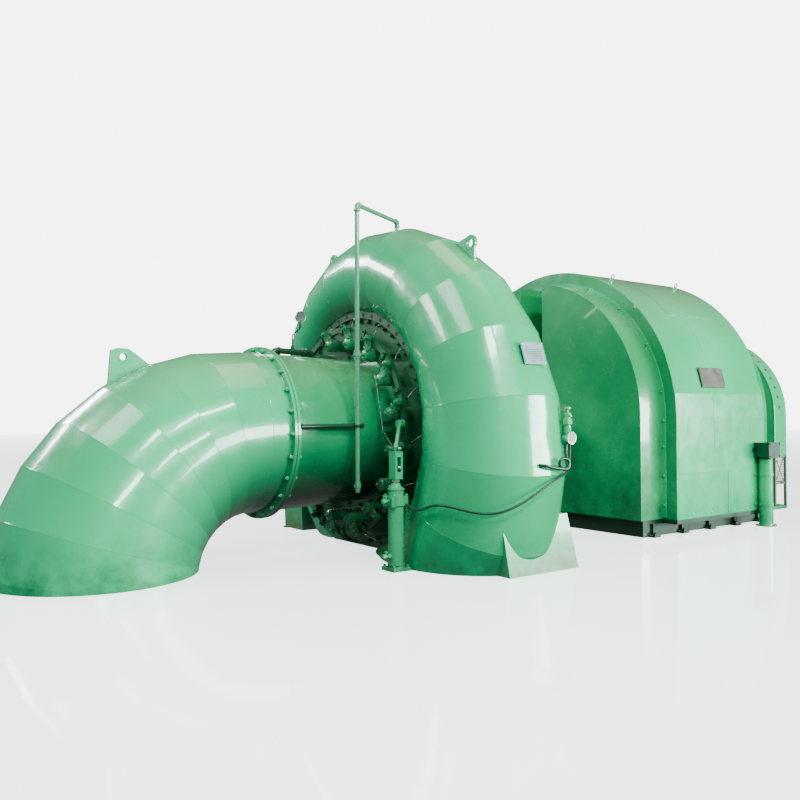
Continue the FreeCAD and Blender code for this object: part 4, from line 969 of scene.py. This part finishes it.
# folded angle frames stiffen both ends of the cover and carry the end covers' bolts
FRAME_R, FRAME_WIDE, FRAME_THICK, FRAME_FOOT_Z = 2.056, 0.056, 0.010, 0.250
ARC_STEP = 2.5
mesh = bmesh.new()
for x, along in ((GEN_X0, -ALONG), (GEN_X1, ALONG)):
    stations = [(at(x, -FRAME_R, FRAME_FOOT_Z), 0.0)]
    stations += [(arch(FRAME_R, ARC_STEP * k, x), ARC_STEP * k) for k in range(73)]
    stations += [(at(x, FRAME_R, FRAME_FOOT_Z), 180.0)]
    rows = []
    for middle, degrees in stations:
        rows.append([mesh.verts.new(middle + outwards(degrees) * a * FRAME_WIDE / 2 + along * b * FRAME_THICK)
                     for a, b in ((-1, 0), (1, 0), (1, 1), (-1, 1))])
    bridge(mesh, rows)
    mesh.faces.new(rows[0])
    mesh.faces.new(rows[-1])
    for number in range(4, 69, 8):
        bolt(mesh, arch(FRAME_R, ARC_STEP * number, x) + along * FRAME_THICK, along, 0.026)
    for z in (0.42, 0.82, 1.22, 1.58):
        for side in (-1, 1):
            bolt(mesh, at(x, side * FRAME_R, z) + along * FRAME_THICK, along, 0.026)
fit("end_cover_flanges", mesh, cover_green)

# four ring eyes stand on the crown, and a row of screws holds the near wall to the base
mesh = bmesh.new()
for x in (GEN_X0 + 0.30, GEN_X1 - 0.30):
    for degrees in (66.0, 114.0):
        seat = roof_point(degrees, x, -0.002)
        out = outwards(degrees)
        turned(mesh, seat, out, [(0, 0.042), (0.008, 0.042), (0.014, 0.022), (0.034, 0.020)], 18)
        loop = [seat + out * (0.068 + 0.030 * math.cos(t)) + ALONG * 0.030 * math.sin(t)
                for t in (math.tau * k / 20 for k in range(21))]
        swept(mesh, loop, 0.010, 8)
for number in range(15):
    x = GEN_X0 + 0.09 + (GEN_X1 - GEN_X0 - 0.18) * number / 14
    turned(mesh, at(x, -GEN_HALF, 0.285), NEAR, [(0, 0.014), (0.004, 0.013), (0.007, 0.008)], 12)
fit("generator_cover_fixings", mesh, cover_green)

# ------------------------------------------------------------------ generator base frame
# Welded channel beams painted near-black, set on the floor and held by foundation bolts; the dark paint also
# stands in for the shade in the gap under the cover.
paint_nodes(dark_green, "base_beam_near", "base_beam_far", "base_cross_beams")
mesh = bmesh.new()
BASE_HALF = 1.990
base_low, base_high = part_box("base_beam_near")
for share in (0.06, 0.28, 0.5, 0.72, 0.94):
    x = base_low[0] + share * (base_high[0] - base_low[0])
    clamp = Vector((x, shaft_y - BASE_HALF, 0.0))
    block(mesh, clamp + Vector((0.0, -0.055, 0.011)), (0.15, 0.11, 0.022), 0.003)
    bolt(mesh, clamp + Vector((0.0, -0.060, 0.022)), UP, 0.046)
    block(mesh, clamp + Vector((0.0, -0.006, 0.100)), (0.014, 0.060, 0.150), 0.003)
fit("base_frame_clamps", mesh, dark_green)

# ------------------------------------------------------------------ generator side plate
# A blank maroon-grey enamelled plate, screwed on through a thin rolled border.
maroon = mottled("maroon_plate_paint", (7.0, 6.0, 0.7), (0.075, 0.048, 0.045), (0.135, 0.098, 0.090),
                 (0.30, 0.50), 0.0, (0.32, 0.68))
paint_nodes(maroon, "side_plate")
plate_low, plate_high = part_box("side_plate")
plate_centre = (plate_low + plate_high) / 2
plate_turn = math.atan2(plate_centre[2] - ARCH_Z, shaft_y - plate_centre[1])
plate_lean = Matrix.Rotation(-plate_turn, 3, "X")
plate_face = at(0.0, 0.0, ARCH_Z) + plate_lean @ NEAR * (GEN_HALF + 0.012)
plate_face.x = plate_centre[0]
mesh = bmesh.new()
long, tall = plate_high[0] - plate_low[0], 0.290
for side in (-1, 1):
    for place, size in (((0, -0.001, side * (tall / 2 - 0.009)), (long - 0.006, 0.004, 0.012)),
                        ((side * (long / 2 - 0.009), -0.001, 0), (0.012, 0.004, tall - 0.030))):
        block(mesh, plate_face + plate_lean @ Vector(place), size, 0.001, plate_lean)
    for lift in (-1, 1):
        screw = plate_face + plate_lean @ Vector((side * (long / 2 - 0.040), 0, lift * (tall / 2 - 0.040)))
        turned(mesh, screw, plate_lean @ NEAR, [(0, 0.011), (0.004, 0.010), (0.007, 0.005)], 14)
fit("side_plate_border", mesh, maroon)

# ------------------------------------------------------------------ cable box and downpipe
# A cast terminal box with a screwed lid sits over a painted downpipe, which is clamped to
# the wall and runs into the floor through a flange.
paint_nodes(dark_green, "cable_box")
paint_nodes(cover_green, "cable_downpipe")
box_low, box_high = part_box("cable_box")
pipe_low, pipe_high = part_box("cable_downpipe")
middle = (box_low + box_high) / 2
mesh = bmesh.new()
block(mesh, Vector((middle[0], box_low[1] - 0.006, middle[2])),
      (box_high[0] - box_low[0] + 0.016, 0.016, box_high[2] - box_low[2] + 0.012), 0.004)
for side in (-1, 1):
    for lift in (-1, 1):
        seat = Vector((middle[0] + side * 0.130, box_low[1] - 0.014, middle[2] + lift * 0.088))
        bolt(mesh, seat, NEAR, 0.016)
    lug = Vector((middle[0] + side * 0.165, box_high[1] - 0.010, middle[2]))
    block(mesh, lug, (0.040, 0.014, 0.070), 0.003)
pipe_axis = Vector(((pipe_low[0] + pipe_high[0]) / 2, (pipe_low[1] + pipe_high[1]) / 2, 0.0))
ring_band(mesh, Vector((middle[0], pipe_axis[1], box_low[2] - 0.030)), UP, 0.098, 0.112, 0.030, 40)
fit("cable_box_lid", mesh, dark_green)
mesh = bmesh.new()
for height in (0.30, 0.74):
    ring_band(mesh, pipe_axis + UP * height, UP, 0.099, 0.108, 0.040, 40)
    for side in (-1, 1):
        block(mesh, pipe_axis + Vector((side * 0.125, 0.094, height + 0.020)), (0.050, 0.016, 0.040), 0.003)
        bolt(mesh, pipe_axis + Vector((side * 0.130, 0.086, height + 0.020)), NEAR, 0.018)
turned(mesh, pipe_axis, UP, [(0, 0.150), (0.012, 0.150), (0.014, 0.104), (0.034, 0.102)], 40)
for number in range(4):
    spin = Matrix.Rotation(math.radians(45 + 90 * number), 3, "Z") @ ALONG
    bolt(mesh, pipe_axis + spin * 0.128 + UP * 0.012, UP, 0.020)
fit("cable_downpipe_clamps", mesh, cover_green)

# ------------------------------------------------------------------ flywheel guard
# A rolled sheet guard over the flywheel has a row of vent holes round its rim. Below the
# sheet it stands on angle posts with panels of crimped wire and a cross brace.
GUARD_X0, GUARD_X1, GUARD_R = 7.390, 7.770, 1.394
GUARD_MID_X = (GUARD_X0 + GUARD_X1) / 2
MESH_LOW, MESH_HIGH, POST_LOW = 0.440, 0.920, 0.060
WIRE_PITCH, WIRE_R, POST, SHAFT_GAP = 0.040, 0.0028, 0.040, 0.260
paint_nodes(cover_green, "guard_cover")
mesh = bmesh.new()
rims = bmesh.new()
# the vent holes are drawn as near-black discs, each inside a green rim: painted shade in the holes
for number in range(24):
    degrees = 6.0 + 168.0 * number / 23
    out = outwards(degrees)
    seat = arch(GUARD_R, degrees, GUARD_MID_X - 0.03)
    turned(mesh, seat - out * 0.004, out, [(0, 0.030), (0.0056, 0.030)], 20)
    ring_band(rims, seat - out * 0.003, out, 0.029, 0.037, 0.006, 20)
BEADING_R, BEADING_SINK = 0.007, 0.004
for x in (GUARD_X0, GUARD_X1 - 0.008):
    edge = [at(x, BEADING_SINK - GUARD_R, MESH_HIGH)]
    edge += [arch(GUARD_R - BEADING_SINK, ARC_STEP * k, x) for k in range(73)]
    edge += [at(x, GUARD_R - BEADING_SINK, MESH_HIGH)]
    swept(rims, edge, BEADING_R, 8, 0.0, ALONG)
fit("guard_vent_hole_shade", mesh, hole_painted_shade)
fit("guard_rim_beading", rims, cover_green)
wire_paint = enamel("guard_wire_paint", (0.075, 0.170, 0.105), (0.050, 0.100, 0.062), RUST,
                    0.9, 0.4, 0.2, 0.1, 0.35)
mesh = bmesh.new()


def wire(start, end, radius=WIRE_R, sides=6):
    swept(mesh, [at(*start), at(*end)], radius, sides)


for side in (-1, 1):
    y = side * (GUARD_R - POST / 2)
    for x in (GUARD_X0 + POST / 2, GUARD_X1 - POST / 2):
        block(mesh, at(x, y, (POST_LOW + MESH_HIGH) / 2), (POST, POST, MESH_HIGH - POST_LOW), 0.003)
        block(mesh, at(x, y, 0.066), (0.040, 0.040, 0.012), 0.002)
    for z in (MESH_LOW, MESH_HIGH - 0.018):
        block(mesh, at(GUARD_MID_X, y, z), (GUARD_X1 - GUARD_X0 - POST, 0.012, 0.026), 0.002)
    x0, x1 = GUARD_X0 + POST, GUARD_X1 - POST
    for k in range(1, 9):
        x = x0 + (x1 - x0) * k / 9
        wire((x, y, MESH_LOW), (x, y, MESH_HIGH))
    for k in range(1, 12):
        z = MESH_LOW + WIRE_PITCH * k
        wire((x0, y - 0.004, z), (x1, y - 0.004, z))
    for first, last in ((MESH_LOW, MESH_HIGH), (MESH_HIGH, MESH_LOW)):
        wire((x0, y - side * 0.006, first), (x1, y - side * 0.006, last), 0.007, 8)
    y0, y1 = (POST - GUARD_R, -SHAFT_GAP) if side < 0 else (SHAFT_GAP, GUARD_R - POST)
    for x in (GUARD_X0 + 0.005, GUARD_X1 - 0.005):
        for z in (MESH_LOW + 0.012, MESH_HIGH - 0.012):
            block(mesh, at(x, (y0 + y1) / 2, z), (0.010, y1 - y0, 0.024), 0.002)
        count = int((y1 - y0) / WIRE_PITCH)
        for k in range(count + 1):
            y_wire = y0 + (y1 - y0) * k / count
            wire((x, y_wire, MESH_LOW), (x, y_wire, MESH_HIGH))
        for k in range(1, 12):
            z = MESH_LOW + WIRE_PITCH * k
            wire((x, y0, z), (x, y1, z))
panels = fit("guard_wire_panels", mesh, wire_paint)
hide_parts("guard_frame")

# ------------------------------------------------------------------ room
# A plain pale floor, windows high in the near wall and a soft pale ceiling. The floor is kept
# out of the bounced light and the reflections, so that what faces down stays dark.
FLOOR_HALF = 60.0
FLOOR_FADE_START, FLOOR_FADE_END, FLOOR_GLOW, FLOOR_FAR_GLOW = 12.0, 58.0, 2.0, 4.0
floor_mesh = bpy.data.meshes.new("floor")
corners = [(x * FLOOR_HALF, y * FLOOR_HALF, -0.001) for x, y in ((-1, -1), (1, -1), (1, 1), (-1, 1))]
floor_mesh.from_pydata(corners, [], [(0, 1, 2, 3)])
floor = bpy.data.objects.new("floor", floor_mesh)
bpy.context.collection.objects.link(floor)
floor_paint, tree, skin, where = new_material("pale_floor")
tone = ramp(tree, cloudy(tree, where, 0.4, 3.0), 0.3, 0.7)
tree.links.new(blend_colour(tree, tone, (0.74, 0.77, 0.75), (0.80, 0.83, 0.81)), skin.inputs["Base Color"])
skin.inputs["Roughness"].default_value = 0.06
skin.inputs["Emission Color"].default_value = (0.96, 1.0, 0.98, 1.0)
far = tree.nodes.new("ShaderNodeVectorMath")
far.operation = "LENGTH"
tree.links.new(where.outputs["Object"], far.inputs[0])
glow = ramp(tree, far.outputs["Value"], FLOOR_FADE_START, FLOOR_FADE_END, FLOOR_GLOW, FLOOR_FAR_GLOW)
tree.links.new(glow, skin.inputs["Emission Strength"])
floor_mesh.materials.append(floor_paint)
floor.visible_diffuse = False
floor.visible_glossy = False

world = bpy.data.worlds.new("pale_room")
world.use_nodes = True
tree = world.node_tree
surface = tree.nodes["World Output"].inputs["Surface"]
room_light = tree.nodes["Background"]
room_light.inputs["Color"].default_value = (0.90, 0.97, 0.94, 1.0)
room_light.inputs["Strength"].default_value = 0.20
backdrop = tree.nodes.new("ShaderNodeBackground")
backdrop.inputs["Color"].default_value = (1.0, 1.0, 1.0, 1.0)
backdrop.inputs["Strength"].default_value = 6.0
seen = tree.nodes.new("ShaderNodeLightPath")
choose = tree.nodes.new("ShaderNodeMixShader")
tree.links.new(seen.outputs["Is Camera Ray"], choose.inputs["Fac"])
tree.links.new(room_light.outputs["Background"], choose.inputs[1])
tree.links.new(backdrop.outputs["Background"], choose.inputs[2])
tree.links.new(choose.outputs["Shader"], surface)
bpy.context.scene.world = world


def window(name, azimuth, elevation, distance, width, height, power, aim, colour=(0.95, 1.0, 0.98)):
    # a rectangular light panel seen in that direction from the machine
    lamp = bpy.data.lights.new(name, "AREA")
    lamp.shape = "RECTANGLE"
    lamp.size = width
    lamp.size_y = height
    lamp.energy = power
    lamp.color = colour
    turn = math.radians(azimuth)
    rise = math.radians(elevation)
    away = Vector((math.cos(turn) * math.cos(rise), math.sin(turn) * math.cos(rise), math.sin(rise)))
    holder = bpy.data.objects.new(name, lamp)
    target = at(*aim)
    holder.location = target + away * distance
    holder.rotation_euler = away.to_track_quat("Z", "Y").to_euler()
    bpy.context.collection.objects.link(holder)


PALE_MINT = (0.70, 1.0, 0.88)
window("window_low_left", -100, 18.5, 22, 4.2, 1.1, 1500, (-3, 0, 1.4), PALE_MINT)
window("window_low_right", -76, 18.5, 22, 6.0, 1.1, 2000, (-3, 0, 1.4), PALE_MINT)
window("window_high_left", -98, 41, 22, 4.4, 1.5, 2000, (-3, 0, 1.4), PALE_MINT)
window("window_high_right", -76, 42, 22, 6.0, 1.2, 2300, (-3, 0, 1.4), PALE_MINT)
window("window_far_side", 112, 30, 20, 10.0, 3.0, 4500, (-2, 0, 1.6))
window("roof_light_left", -165, 60, 18, 8.0, 5.0, 1400, (-1, 0, 1.6))
window("door_light_left", 168, 36, 9, 3.0, 1.6, 420, (-1.0, 0.7, 2.6))
window("soft_front", -55, 4, 30, 18.0, 7.0, 21000, (2, 0, 1.6), (0.80, 1.0, 0.91))
window("ceiling", 0, 88, 14, 12.0, 5.0, 700, (2, 0, 1.6), (1.0, 0.78, 0.60))

# ------------------------------------------------------------------ camera
# Eye height, standing off the draft tube's end and looking along the set.
CAMERA_AT = (-6.319, -9.079, 1.732)
CAMERA_AZIMUTH = -36.413
CAMERA_PITCH = 0.73
CAMERA_ROLL = -0.206
CAMERA_LENS = 37.31
camera_data = bpy.data.cameras.new("camera")
camera_data.sensor_width = 36.0
camera_data.lens = CAMERA_LENS
camera_data.clip_end = 300.0
camera = bpy.data.objects.new("camera", camera_data)
bpy.context.collection.objects.link(camera)
camera.matrix_world = (Matrix.Translation(at(*CAMERA_AT))
                       @ Matrix.Rotation(math.radians(CAMERA_AZIMUTH), 4, "Z")
                       @ Matrix.Rotation(math.radians(90 + CAMERA_PITCH), 4, "X")
                       @ Matrix.Rotation(math.radians(CAMERA_ROLL), 4, "Z"))
bpy.context.scene.camera = camera
